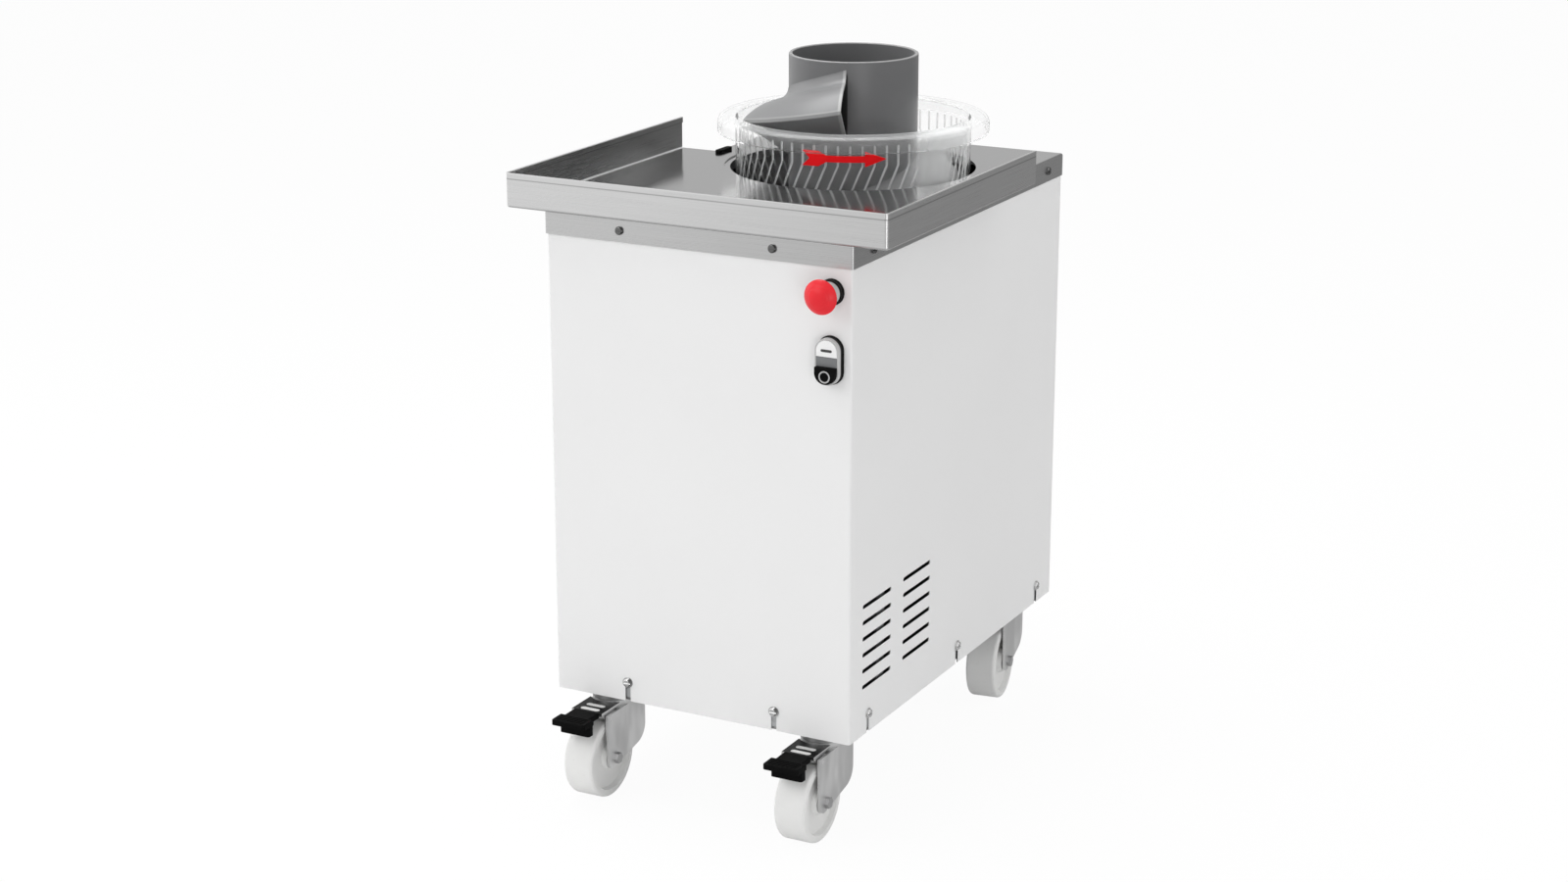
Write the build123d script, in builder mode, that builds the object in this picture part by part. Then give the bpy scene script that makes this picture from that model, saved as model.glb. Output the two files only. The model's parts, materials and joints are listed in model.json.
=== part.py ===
from build123d import *
import os
from math import cos, degrees, radians, sin, tan

os.makedirs("parts", exist_ok=True)

# Clearances
FIT_PLAY = 0.05
RUN_PLAY = 0.08
RUN_GAP = 0.3
SHEET_GAP = 0.3
HOLE_PLAY = 0.3

# Lid, cabinet sheet and base
LID_W = 400.0
LID_D = 600.0
LID_T = 1.5
SKIRT_H = 28.0
LID_BEND = 3.0
CABINET_H = 592.0
PANEL_T = 1.2
PANEL_INSET = 0.5
PANEL_BEND = 3.0
RETURN_W = 15.0
PAN_H = 40.0
PAN_T = 2.0
PAN_CORNER = 4.0
POST_W = 20.0
TUBE_WALL = 2.0
RAIL_H = 30.0
POST_CLEAR = 1.0

# Vents and screws of the cabinet
VENT_L = 75.5
VENT_W = 5.0
VENT_PITCH = 19.8
VENT_ROWS = 6
VENT_FROM_FRONT = 72.0
VENT_COLUMN_PITCH = 108.0
VENT_MID_DROP = 482.5
NOTCH_W = 7.0
NOTCH_H = 23.5
SCREW_SHANK_R = 2.5
SCREW_HEAD_R = 5.0
SCREW_HEAD_H = 3.0
SCREW_SLOT_W = 1.4
SCREW_L = 12.0
WASHER_R = 6.5
WASHER_T = 1.2
LID_SCREW_DROP = 14.5
FRONT_SCREW_X = 99.0
SIDE_SCREW_INSET = 50.0
BACK_SCREW_INSET = 9.0
BACK_SCREW_L = 5.0
BACK_SCREW_END = 20.0

# Tray
TRAY_W = 492.0
TRAY_FRONT = 10.0
TRAY_H = 41.0
TRAY_T = 1.5
TRAY_BEND = 4.0
TRAY_NOTCH_R = 160.5
HEM_H = 7.0
HEM_T = 1.2
CLIP_X = 185.5
CLIP_L = 34.0
CLIP_W = 9.0
CLIP_T = 3.5
CLIP_LAP = 14.0

# Bowl
AXIS_FROM_BACK = 200.0
LID_HOLE_R = 153.0
BOWL_R = 146.0
BOWL_T = 4.0
BOWL_DEPTH = 100.0
BOWL_FLOOR_T = 6.0
BOWL_CORNER_R = 12.0
RIM_R = 168.5
RIM_TOP = 66.0
RIM_LIP_H = 19.5
RIM_ROUND = 9.0
RIB_COUNT = 60
RIB_W = 2.4
RIB_H = 1.6
RIB_TOP = 51.0
RIB_KNEE = 27.0
RIB_SLANT = 23.0
RIB_FLOOR_GAP = 16.0

# Feed tube, spiral flight and chute
TUBE_R = 80.0
TUBE_T = 4.5
TUBE_TOP = 142.0
TUBE_FLOOR_GAP = 7.0
WINDOW_FROM = 112.0
WINDOW_TO = 192.0
WINDOW_H = 72.0
FLIGHT_R = 137.0
FLIGHT_T = 4.0
FLIGHT_PITCH = 152.5
FLIGHT_TURN = 442.0
FLIGHT_END_ANGLE = -70.0
FLIGHT_EDGE_TOP = 92.5
FLIGHT_RISE = 40.0
FLIGHT_DROP = 43.0
FLIGHT_LEDGE = 0.6
FLIGHT_FILLET = 15.9
FLIGHT_LEAN = 3.0
FLIGHT_BEND = 77.3
CHUTE_T = 4.0
CHUTE_SLOPE = 28.0
BOSS_R = 22.0
POST_R = 12.0
POST_GRIP = 36.0
SHOULDER_R = 17.0
SHOULDER_T = 4.0
PIN_R = 3.0
PIN_L = 40.0
PIN_UP = 9.0

# Drive
SHAFT_R = 20.0
SHAFT_BORE_R = 13.0
HUB_R = 95.0
HUB_T = 10.0
HUB_BOSS_R = 34.0
HUB_BOSS_H = 44.0
SPIGOT_R = 26.0
SPIGOT_H = 3.0
HUB_SCREW_PCD = 120.0
HUB_SCREW_COUNT = 6
HUB_SCREW_L = 14.0
BEARING_R = 40.0
BEARING_W = 18.0
BEARING_LAND = 5.5
HOUSING_R = 48.0
HOUSING_H = 115.0
HOUSING_LIP_H = 7.0
HOUSING_FLANGE_R = 70.0
HOUSING_FLANGE_T = 10.0
HOUSING_BOLT_PCD = 118.0
HOUSING_BOLT_COUNT = 4
FLANGE_BOLT_START = 45.0
PLATE_T = 8.0
BEARING_PLATE_DROP = 192.0
BEARING_PLATE_D = 300.0
PLATE_SPACING = 180.0
MOTOR_PLATE_GAP = 6.0
MOTOR_AXIS_FROM_FRONT = 176.0
PULLEY_R = 126.0
PULLEY_W = 24.0
PULLEY_LIP = 3.0
PULLEY_LIP_T = 2.5
PULLEY_WEB_T = 8.0
PULLEY_HUB_R = 36.0
PULLEY_HOLE_R = 24.0
PULLEY_HOLES = 6
PULLEY_GAP = 11.0
PINION_R = 24.0
BELT_T = 4.0
BELT_SIDE_GAP = 1.0
NUT_R = 30.0
NUT_H = 10.0
MOTOR_R = 60.0
MOTOR_FIN = 5.0
MOTOR_FINS = 28
MOTOR_L = 140.0
MOTOR_FLANGE_R = 70.0
MOTOR_FLANGE_T = 12.0
MOTOR_SHAFT_R = 9.5
MOTOR_BOLT_PCD = 115.0
FAN_COVER_L = 34.0
FAN_COVER_T = 1.5
FAN_R = 50.0
FAN_BLADES = 8
BOLT_R = 4.0
BOLT_HEAD_R = 7.0
BOLT_HEAD_H = 5.0
TERMINAL_BOX_OUT = 45.0
TERMINAL_BOX_W = 70.0
TERMINAL_BOX_H = 60.0
CONTROL_BOX = (70.0, 190.0, 160.0)
CONTROL_BOX_FROM_FRONT = 330.0
CONTROL_BOX_EDGE = 4.0

# Switches
ESTOP_X = 172.8
ESTOP_DROP = 56.0
ESTOP_R = 20.0
ESTOP_RIM_OUT = 29.0
ESTOP_REACH = 38.0
ESTOP_SKIRT = 4.0
ESTOP_COLLAR_R = 13.0
ESTOP_FLANGE_R = 14.0
ESTOP_FLANGE_T = 3.5
ESTOP_COLLAR_OUT = 18.5
ESTOP_STEM_R = 6.0
SWITCH_BUSH_R = 11.0
SWITCH_BUSH_IN = 14.0
GASKET_T = 1.5
GASKET_RIM = 1.2
SWITCH_NUT_R = 15.0
SWITCH_NUT_T = 5.0
DOUBLE_X = 171.8
DOUBLE_DROP = 134.0
BEZEL_W = 30.0
BEZEL_L = 54.0
BEZEL_H = 10.0
BEZEL_WALL = 1.8
BEZEL_FLOOR = 3.0
LENS_H = 11.0
BUTTON_GAP = 0.3
BUTTON_TRAVEL = 3.0
START_PROUD = 0.6
STOP_PROUD = 5.5
BLOCK_W = 30.0
BLOCK_H = 40.0
BLOCK_D = 40.0
ESTOP_TRAVEL = 5.0

# Cable gland
GLAND_X = -120.0
GLAND_UP = 62.0
GLAND_R = 10.0
GLAND_NUT_R = 14.0
GLAND_NUT_T = 6.0
GLAND_REACH = 24.0
GLAND_BORE_R = 5.0

# Castors
CASTOR_H = 128.0
CASTOR_X = 143.0
CASTOR_INSET = 42.0
WHEEL_R = 50.0
WHEEL_W = 39.0
WHEEL_EDGE = 4.0
WHEEL_RIM = 9.0
WHEEL_DISH = 6.0
WHEEL_HUB_R = 15.0
TRAIL = 38.0
CASTOR_PLATE_W = 105.0
CASTOR_PLATE_D = 72.0
CASTOR_PLATE_T = 4.0
CASTOR_BOLT_DX = 80.0
CASTOR_BOLT_DY = 56.0
RACE_R = 26.0
CROWN_FRONT = 30.0
LEG_SIDE_H = 9.0
LEG_HEEL_R = 22.0
LEG_HEEL_DROP = 37.0
RACE_H = 12.0
DISH_H = 6.0
FORK_T = 3.0
WHEEL_SIDE_GAP = 2.5
KING_R = 7.0
KING_HEAD_R = 11.0
KING_HEAD_H = 4.0
AXLE_R = 4.5
AXLE_HEAD_R = 7.0
AXLE_HEAD_H = 5.0
LEG_TOE = 6.0
LEG_TOE_R = 11.0
LEG_BACK = 31.0
LEG_FRONT = 57.0
LEVER_W = 42.0
LEVER_T = 3.0
LEVER_TOP = 115.0
LEVER_BACK = 21.0
LEVER_PIVOT_Y = 48.0
LEVER_PIVOT_Z = 104.0
LEVER_PIN_R = 3.0
LEVER_EAR_R = 4.3
LEVER_SLOT_L = 26.0
LEVER_SLOT_W = 7.5
LEVER_SLOT_PITCH = 13.0
PEDAL_W = 46.0
PEDAL_NECK_W = 34.0
PEDAL_BACK = 64.0
PEDAL_REACH = 66.0
PEDAL_T = 7.0
PEDAL_LIP = 21.0
PEDAL_LIP_T = 9.0
PEDAL_LIP_W = 41.0
PEDAL_LIP_BACK = 15.0
REAR_RIGHT_TURN = 8.0

# Levels above the floor
BASE_Z = CASTOR_H
LID_Z = BASE_Z + CABINET_H
PAN_LOW_Z = BASE_Z + CASTOR_PLATE_T
PAN_FLOOR_Z = PAN_LOW_Z + PAN_T
RAIL_TOP_Z = LID_Z - LID_T
POST_TOP_Z = RAIL_TOP_Z - POST_W
WRAP_TOP_Z = RAIL_TOP_Z - LID_BEND
BOWL_FLOOR_Z = LID_Z - BOWL_DEPTH
HUB_TOP_Z = BOWL_FLOOR_Z - BOWL_FLOOR_T
RIM_Z = LID_Z + RIM_TOP
BEARING_PLATE_Z = LID_Z - BEARING_PLATE_DROP
MOTOR_PLATE_Z = BEARING_PLATE_Z - PLATE_SPACING
HOUSING_TOP_Z = BEARING_PLATE_Z + HOUSING_FLANGE_T + HOUSING_LIP_H
HOUSING_LOW_Z = HOUSING_TOP_Z - HOUSING_H
PULLEY_TOP_Z = HOUSING_LOW_Z - PULLEY_GAP
PULLEY_LOW_Z = PULLEY_TOP_Z - PULLEY_W
SHAFT_LOW_Z = PULLEY_LOW_Z - NUT_H
SHOULDER_Z = BOWL_FLOOR_Z + SPIGOT_H + SHEET_GAP
BOSS_LOW_Z = SHOULDER_Z + SHOULDER_T
TUBE_LOW_Z = BOWL_FLOOR_Z + TUBE_FLOOR_GAP

# Places across the machine, with the origin midway between pedal tips and cable gland
FRONT_Y = -(LID_D + GLAND_REACH - PEDAL_REACH) / 2
BACK_Y = FRONT_Y + LID_D
MID_Y = FRONT_Y + LID_D / 2
AXIS_Y = BACK_Y - AXIS_FROM_BACK
MOTOR_Y = FRONT_Y + MOTOR_AXIS_FROM_FRONT
SHELL_INSET = LID_T + PANEL_INSET
WRAP_X = LID_W / 2 - SHELL_INSET
WRAP_FRONT_Y = FRONT_Y + SHELL_INSET
WRAP_BACK_Y = BACK_Y - SHELL_INSET - PANEL_T
PANEL_BACK_Y = WRAP_BACK_Y + PANEL_T
PAN_X = WRAP_X - PANEL_T - SHEET_GAP
PAN_FRONT_Y = WRAP_FRONT_Y + PANEL_T + SHEET_GAP
PAN_BACK_Y = WRAP_BACK_Y - PANEL_T - SHEET_GAP
PAN_D = PAN_BACK_Y - PAN_FRONT_Y
PAN_MID_Y = (PAN_FRONT_Y + PAN_BACK_Y) / 2
POST_X = PAN_X - PAN_T - POST_W / 2
post_offset = BOLT_HEAD_R + POST_CLEAR + POST_W / 2
FRONT_POST_Y = FRONT_Y + CASTOR_INSET + CASTOR_BOLT_DY / 2 + post_offset
REAR_POST_Y = BACK_Y - CASTOR_INSET + CASTOR_BOLT_DY / 2 - post_offset


# Planes of the four walls, each with its second axis up and facing outwards
def front_plane(x, z, y=WRAP_FRONT_Y):
    return Plane(origin=(x, y, z), x_dir=(1, 0, 0), z_dir=(0, -1, 0))


def back_plane(x, z, y=PANEL_BACK_Y):
    return Plane(origin=(x, y, z), x_dir=(-1, 0, 0), z_dir=(0, 1, 0))


def side_plane(side, y, z, x=WRAP_X):
    return Plane(origin=(side * x, y, z), x_dir=(0, side, 0), z_dir=(side, 0, 0))


def radial_plane(angle, y=AXIS_Y):
    across = (cos(radians(angle)), sin(radians(angle)), 0)
    return Plane(origin=(0, y, 0), x_dir=across, z_dir=(across[1], -across[0], 0))


def save(piece, name):
    piece.part.label = name
    export_step(piece.part, f"parts/{name}.step")


# Fasteners, each with its seat at the origin and its head along its own Z
def slotted_screw(length, washer):
    seat = WASHER_T if washer else 0
    with BuildPart() as screw:
        with BuildSketch(Plane.XY.offset(seat)):
            Circle(SCREW_HEAD_R)
        extrude(amount=SCREW_HEAD_H)
        fillet(screw.faces().sort_by(Axis.Z)[-1].edges(), SCREW_HEAD_H / 2)
        with BuildSketch(Plane.XY.offset(seat + SCREW_HEAD_H)):
            Rectangle(2 * SCREW_HEAD_R, SCREW_SLOT_W)
        extrude(amount=-SCREW_HEAD_H / 2, mode=Mode.SUBTRACT)
        with BuildSketch(Plane.XY.offset(seat)):
            Circle(SCREW_SHANK_R)
        extrude(amount=-seat - length)
        if washer:
            with BuildSketch():
                Circle(WASHER_R)
            extrude(amount=WASHER_T)
    return screw.part


def hex_bolt(length):
    with BuildPart() as bolt:
        with BuildSketch():
            RegularPolygon(BOLT_HEAD_R, 6)
        extrude(amount=BOLT_HEAD_H)
        with BuildSketch():
            Circle(BOLT_R)
        extrude(amount=-length)
    return bolt.part


# Places of the cabinet's screws
BOTTOM_SCREW_Z = BASE_Z + NOTCH_H
LID_SCREW_Z = LID_Z - LID_SCREW_DROP
SIDE_SCREW_YS = (FRONT_Y + SIDE_SCREW_INSET, BACK_Y - SIDE_SCREW_INSET)
BOTTOM_SIDE_YS = (SIDE_SCREW_YS[0], MID_Y, SIDE_SCREW_YS[1])
BACK_SCREW_X = WRAP_X - BACK_SCREW_INSET
BACK_SCREW_ZS = (
    PAN_LOW_Z + PAN_H + BACK_SCREW_END,
    BASE_Z + CABINET_H / 2,
    LID_Z - SKIRT_H - BACK_SCREW_END,
)


def lid_screw_places(out):
    places = []
    for sign in (-1, 1):
        places.append(front_plane(sign * FRONT_SCREW_X, LID_SCREW_Z, FRONT_Y + LID_T - out))
        places.append(back_plane(sign * FRONT_SCREW_X, LID_SCREW_Z, BACK_Y - LID_T + out))
        for y in SIDE_SCREW_YS:
            places.append(side_plane(sign, y, LID_SCREW_Z, LID_W / 2 - LID_T + out))
    return places


BOTTOM_SCREW_PLACES = []
for sign in (-1, 1):
    BOTTOM_SCREW_PLACES.append(front_plane(sign * FRONT_SCREW_X, BOTTOM_SCREW_Z))
    for y in BOTTOM_SIDE_YS:
        BOTTOM_SCREW_PLACES.append(side_plane(sign, y, BOTTOM_SCREW_Z))
BACK_SCREW_PLACES = [back_plane(s * BACK_SCREW_X, z) for s in (-1, 1) for z in BACK_SCREW_ZS]
CASTOR_PLACES = {
    "front_left": (-CASTOR_X, FRONT_Y + CASTOR_INSET),
    "front_right": (CASTOR_X, FRONT_Y + CASTOR_INSET),
    "rear_left": (-CASTOR_X, BACK_Y - CASTOR_INSET),
    "rear_right": (CASTOR_X, BACK_Y - CASTOR_INSET),
}

# Base pan, set up inside the sheet by the thickness of the castor plates
with BuildPart() as base_pan:
    with BuildSketch(Plane.XY.offset(PAN_LOW_Z)):
        with Locations((0, PAN_MID_Y)):
            RectangleRounded(2 * PAN_X, PAN_D, PAN_CORNER)
    extrude(amount=PAN_H)
    offset(amount=-PAN_T, openings=base_pan.faces().sort_by(Axis.Z)[-1])
    with BuildSketch(Plane.XY.offset(PAN_LOW_Z)):
        with Locations(*CASTOR_PLACES.values()):
            with GridLocations(CASTOR_BOLT_DX, CASTOR_BOLT_DY, 2, 2):
                Circle(BOLT_R + HOLE_PLAY)
    extrude(amount=PAN_T, mode=Mode.SUBTRACT)
    with Locations(*BOTTOM_SCREW_PLACES):
        Hole(SCREW_SHANK_R + FIT_PLAY, SCREW_L)
save(base_pan, "base_pan")

# Four square-tube posts
POST_PLACES = [(s * POST_X, y) for s in (-1, 1) for y in (FRONT_POST_Y, REAR_POST_Y)]
with BuildPart() as frame_posts:
    with BuildSketch(Plane.XY.offset(PAN_FLOOR_Z)):
        with Locations(*POST_PLACES):
            Rectangle(POST_W, POST_W)
            Rectangle(POST_W - 2 * TUBE_WALL, POST_W - 2 * TUBE_WALL, mode=Mode.SUBTRACT)
    extrude(amount=POST_TOP_Z - PAN_FLOOR_Z)
save(frame_posts, "frame_posts")

# Top ring of four rails under the lid, drilled for its screws
with BuildPart() as top_rails:
    with BuildSketch(back_plane(0, RAIL_TOP_Z - POST_W / 2, PAN_FRONT_Y)):
        with Locations((-POST_X, 0), (POST_X, 0)):
            Rectangle(POST_W, POST_W)
            Rectangle(POST_W - 2 * TUBE_WALL, POST_W - 2 * TUBE_WALL, mode=Mode.SUBTRACT)
    extrude(amount=PAN_D)
    with BuildSketch(side_plane(1, 0, RAIL_TOP_Z - POST_W / 2, POST_W / 2 - POST_X)):
        with Locations((PAN_FRONT_Y + POST_W / 2, 0), (PAN_BACK_Y - POST_W / 2, 0)):
            Rectangle(POST_W, POST_W)
            Rectangle(POST_W - 2 * TUBE_WALL, POST_W - 2 * TUBE_WALL, mode=Mode.SUBTRACT)
    extrude(amount=2 * POST_X - POST_W)
    with Locations(*lid_screw_places(LID_T)):
        Hole(SCREW_SHANK_R + FIT_PLAY, SCREW_L + LID_T)
save(top_rails, "top_rails")

# Two pairs of side rails between the posts that carry the drive plates
RAIL_FROM_Y = FRONT_POST_Y + POST_W / 2
RAIL_L = REAR_POST_Y - POST_W / 2 - RAIL_FROM_Y
PLATE_X = POST_X + POST_W / 4
PLATE_BOLT_X = POST_X
PLATE_BOLT_INSET = 2 * BOLT_HEAD_R
BEARING_BOLT_YS = [AXIS_Y + s * (BEARING_PLATE_D / 2 - PLATE_BOLT_INSET) for s in (-1, 1)]
MOTOR_PLATE_D = RAIL_L - 2 * MOTOR_PLATE_GAP
MOTOR_PLATE_MID_Y = RAIL_FROM_Y + RAIL_L / 2
MOTOR_BOLT_YS = [MOTOR_PLATE_MID_Y + s * (MOTOR_PLATE_D / 2 - PLATE_BOLT_INSET) for s in (-1, 1)]
BEARING_BOLTS = [(s * PLATE_BOLT_X, y) for s in (-1, 1) for y in BEARING_BOLT_YS]
MOTOR_PLATE_BOLTS = [(s * PLATE_BOLT_X, y) for s in (-1, 1) for y in MOTOR_BOLT_YS]
BEARING_SEAT_Z = BEARING_PLATE_Z - PLATE_T
MOTOR_SEAT_Z = MOTOR_PLATE_Z - PLATE_T
with BuildPart() as drive_rails:
    for seat_z in (BEARING_SEAT_Z, MOTOR_SEAT_Z):
        with BuildSketch(back_plane(0, seat_z - RAIL_H / 2, RAIL_FROM_Y)):
            with Locations((-POST_X, 0), (POST_X, 0)):
                Rectangle(POST_W, RAIL_H)
                Rectangle(POST_W - 2 * TUBE_WALL, RAIL_H - 2 * TUBE_WALL, mode=Mode.SUBTRACT)
        extrude(amount=RAIL_L)
    for seat_z, places in ((BEARING_SEAT_Z, BEARING_BOLTS), (MOTOR_SEAT_Z, MOTOR_PLATE_BOLTS)):
        with BuildSketch(Plane.XY.offset(seat_z)):
            with Locations(*places):
                Circle(BOLT_R + FIT_PLAY)
        extrude(amount=-TUBE_WALL, mode=Mode.SUBTRACT)
save(drive_rails, "drive_rails")

# White sheet bent round the front and both sides
with BuildPart() as cabinet_wrap:
    wrap_d = WRAP_BACK_Y - WRAP_FRONT_Y
    wrap_mid = (WRAP_BACK_Y + WRAP_FRONT_Y) / 2
    with BuildSketch(Plane.XY.offset(BASE_Z)) as wrap_section:
        with Locations((0, wrap_mid)):
            Rectangle(2 * WRAP_X, wrap_d)
        fillet(wrap_section.vertices().group_by(Axis.Y)[0], PANEL_BEND)
        offset(amount=-PANEL_T, mode=Mode.SUBTRACT)
        with Locations((0, WRAP_BACK_Y - PANEL_T / 2)):
            Rectangle(2 * (WRAP_X - PANEL_T - RETURN_W), PANEL_T, mode=Mode.SUBTRACT)
    extrude(amount=WRAP_TOP_Z - BASE_Z)
    for plane, offsets in (
        (front_plane(0, BASE_Z), (-FRONT_SCREW_X, FRONT_SCREW_X)),
        (side_plane(1, MID_Y, BASE_Z), [y - MID_Y for y in BOTTOM_SIDE_YS]),
        (side_plane(-1, MID_Y, BASE_Z), [y - MID_Y for y in BOTTOM_SIDE_YS]),
    ):
        with BuildSketch(plane):
            with Locations(*[(u, NOTCH_H / 2) for u in offsets]):
                Rectangle(NOTCH_W, NOTCH_H)
            with Locations(*[(u, NOTCH_H) for u in offsets]):
                Circle(NOTCH_W / 2)
        extrude(amount=-PANEL_T, mode=Mode.SUBTRACT)
    vent_mid_y = FRONT_Y + VENT_FROM_FRONT + VENT_COLUMN_PITCH / 2
    with BuildSketch(side_plane(1, vent_mid_y, LID_Z - VENT_MID_DROP)):
        with GridLocations(VENT_COLUMN_PITCH, VENT_PITCH, 2, VENT_ROWS):
            SlotOverall(VENT_L, VENT_W)
    extrude(amount=-PANEL_T, mode=Mode.SUBTRACT)
    with Locations(front_plane(ESTOP_X, LID_Z - ESTOP_DROP), front_plane(DOUBLE_X, LID_Z - DOUBLE_DROP)):
        Hole(SWITCH_BUSH_R + HOLE_PLAY, PANEL_T)
    with Locations(*lid_screw_places(LID_T)):
        Hole(SCREW_SHANK_R + HOLE_PLAY, SHELL_INSET + 2 * PANEL_T)
    back_holes = [back_plane(s * BACK_SCREW_X, z, WRAP_BACK_Y) for s in (-1, 1) for z in BACK_SCREW_ZS]
    with Locations(*back_holes):
        Hole(SCREW_SHANK_R + FIT_PLAY, PANEL_T)
save(cabinet_wrap, "cabinet_wrap")

# Rear panel on the two returns of the wrap
with BuildPart() as rear_panel:
    with BuildSketch(back_plane(0, (BASE_Z + WRAP_TOP_Z) / 2)):
        Rectangle(2 * WRAP_X, WRAP_TOP_Z - BASE_Z)
    extrude(amount=-PANEL_T)
    with Locations(*BACK_SCREW_PLACES):
        Hole(SCREW_SHANK_R + HOLE_PLAY, PANEL_T)
    with Locations(back_plane(GLAND_X, BASE_Z + GLAND_UP)):
        Hole(GLAND_R + HOLE_PLAY, PANEL_T)
    with Locations(*lid_screw_places(LID_T)):
        Hole(SCREW_SHANK_R + HOLE_PLAY, SHELL_INSET + 2 * PANEL_T)
save(rear_panel, "rear_panel")

# Cable gland through the rear panel, with its nut inside
with BuildPart() as cable_gland:
    gland_plane = back_plane(GLAND_X, BASE_Z + GLAND_UP)
    gland_out = GLAND_REACH + SHELL_INSET
    with BuildSketch(gland_plane):
        RegularPolygon(GLAND_NUT_R, 6)
    extrude(amount=GLAND_NUT_T)
    with BuildSketch(gland_plane):
        Circle(GLAND_R + FIT_PLAY + PANEL_T)
    extrude(amount=gland_out)
    fillet(cable_gland.faces().sort_by(Axis.Y)[-1].edges(), PANEL_T * 2)
    with BuildSketch(gland_plane):
        Circle(GLAND_R)
    extrude(amount=-PANEL_T - GLAND_NUT_T)
    with BuildSketch(gland_plane.offset(-PANEL_T)):
        RegularPolygon(GLAND_NUT_R, 6)
    extrude(amount=-GLAND_NUT_T)
    with Locations(gland_plane.offset(gland_out)):
        Hole(GLAND_BORE_R, gland_out + PANEL_T + GLAND_NUT_T)
save(cable_gland, "cable_gland")

# Stainless lid with its skirt and the hole for the bowl
with BuildPart() as lid:
    with BuildSketch(Plane.XY.offset(LID_Z - SKIRT_H)):
        with Locations((0, MID_Y)):
            RectangleRounded(LID_W, LID_D, LID_BEND)
    extrude(amount=SKIRT_H)
    fillet(lid.faces().sort_by(Axis.Z)[-1].edges(), LID_BEND)
    offset(amount=-LID_T, openings=lid.faces().sort_by(Axis.Z)[0])
    with Locations((0, AXIS_Y, LID_Z)):
        Hole(LID_HOLE_R, LID_T)
    with Locations(*lid_screw_places(LID_T)):
        Hole(SCREW_SHANK_R + HOLE_PLAY, LID_T)
    with Locations((-CLIP_X, AXIS_Y + CLIP_L / 4, LID_Z), (CLIP_X, AXIS_Y + CLIP_L / 4, LID_Z)):
        Hole(SCREW_SHANK_R + FIT_PLAY, LID_T)
save(lid, "lid")

# Slotted screws of the lid, the wrap and the rear panel
with BuildPart() as cabinet_screws:
    with Locations(*lid_screw_places(LID_T)):
        add(slotted_screw(SCREW_L, False))
    with Locations(*BOTTOM_SCREW_PLACES):
        add(slotted_screw(SCREW_L, True))
    with Locations(*BACK_SCREW_PLACES):
        add(slotted_screw(BACK_SCREW_L, True))
save(cabinet_screws, "cabinet_screws")

# Tray: floor, three walls with hems, and a notch round the bowl
TRAY_FRONT_Y = FRONT_Y - TRAY_FRONT
TRAY_MID_Y = (TRAY_FRONT_Y + AXIS_Y) / 2
TRAY_D = AXIS_Y - TRAY_FRONT_Y
with BuildPart() as tray:
    with BuildSketch(Plane.XY.offset(LID_Z)) as tray_plan:
        with Locations((0, TRAY_MID_Y)):
            Rectangle(TRAY_W, TRAY_D)
        fillet(tray_plan.vertices().group_by(Axis.Y)[0], TRAY_BEND)
    extrude(amount=TRAY_H)
    tray_floor = tray.faces().sort_by(Axis.Z)[0]
    fillet(tray_floor.edges().sort_by(Axis.Y)[:-1], TRAY_BEND - TRAY_T)
    offset(amount=-TRAY_T, openings=[tray.faces().sort_by(Axis.Z)[-1], tray.faces().sort_by(Axis.Y)[-1]])
    hem_plane = Plane.XY.offset(LID_Z + TRAY_H - HEM_H)
    with BuildSketch(hem_plane):
        with Locations((0, TRAY_FRONT_Y - HEM_T / 2)):
            Rectangle(TRAY_W - 2 * TRAY_BEND, HEM_T)
        hem_y = TRAY_MID_Y + TRAY_BEND / 2
        hem_x = TRAY_W / 2 - TRAY_T - HEM_T / 2
        with Locations((-hem_x, hem_y), (hem_x, hem_y)):
            Rectangle(HEM_T, TRAY_D - TRAY_BEND)
    extrude(amount=HEM_H)
    with Locations((0, AXIS_Y, LID_Z + TRAY_T)):
        Hole(TRAY_NOTCH_R, TRAY_T)
save(tray, "tray")

# Dark clips on the lid that hold the tray's back edge down
with BuildPart() as tray_clips:
    clip_mid_y = AXIS_Y + CLIP_L / 2 - CLIP_LAP
    with BuildSketch(Plane.XY.offset(LID_Z)):
        with Locations((-CLIP_X, clip_mid_y), (CLIP_X, clip_mid_y)):
            SlotOverall(CLIP_L, CLIP_W, rotation=90)
    extrude(amount=TRAY_T + RUN_GAP + CLIP_T)
    fillet(tray_clips.faces().filter_by(Axis.Z).group_by(Axis.Z)[-1].edges(), CLIP_T / 3)
    with BuildSketch(Plane.XY.offset(LID_Z)):
        with Locations((0, AXIS_Y + RUN_GAP - CLIP_L / 2)):
            Rectangle(LID_W, CLIP_L)
    extrude(amount=TRAY_T + RUN_GAP, mode=Mode.SUBTRACT)
    with BuildSketch(Plane.XY.offset(LID_Z)):
        with Locations((-CLIP_X, AXIS_Y + CLIP_L / 4), (CLIP_X, AXIS_Y + CLIP_L / 4)):
            Circle(SCREW_SHANK_R)
    extrude(amount=-LID_T)
save(tray_clips, "tray_clips")

BOWL_AXIS = Axis((0, AXIS_Y, 0), (0, 0, 1))
MOTOR_AXIS = Axis((0, MOTOR_Y, 0), (0, 0, 1))

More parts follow.
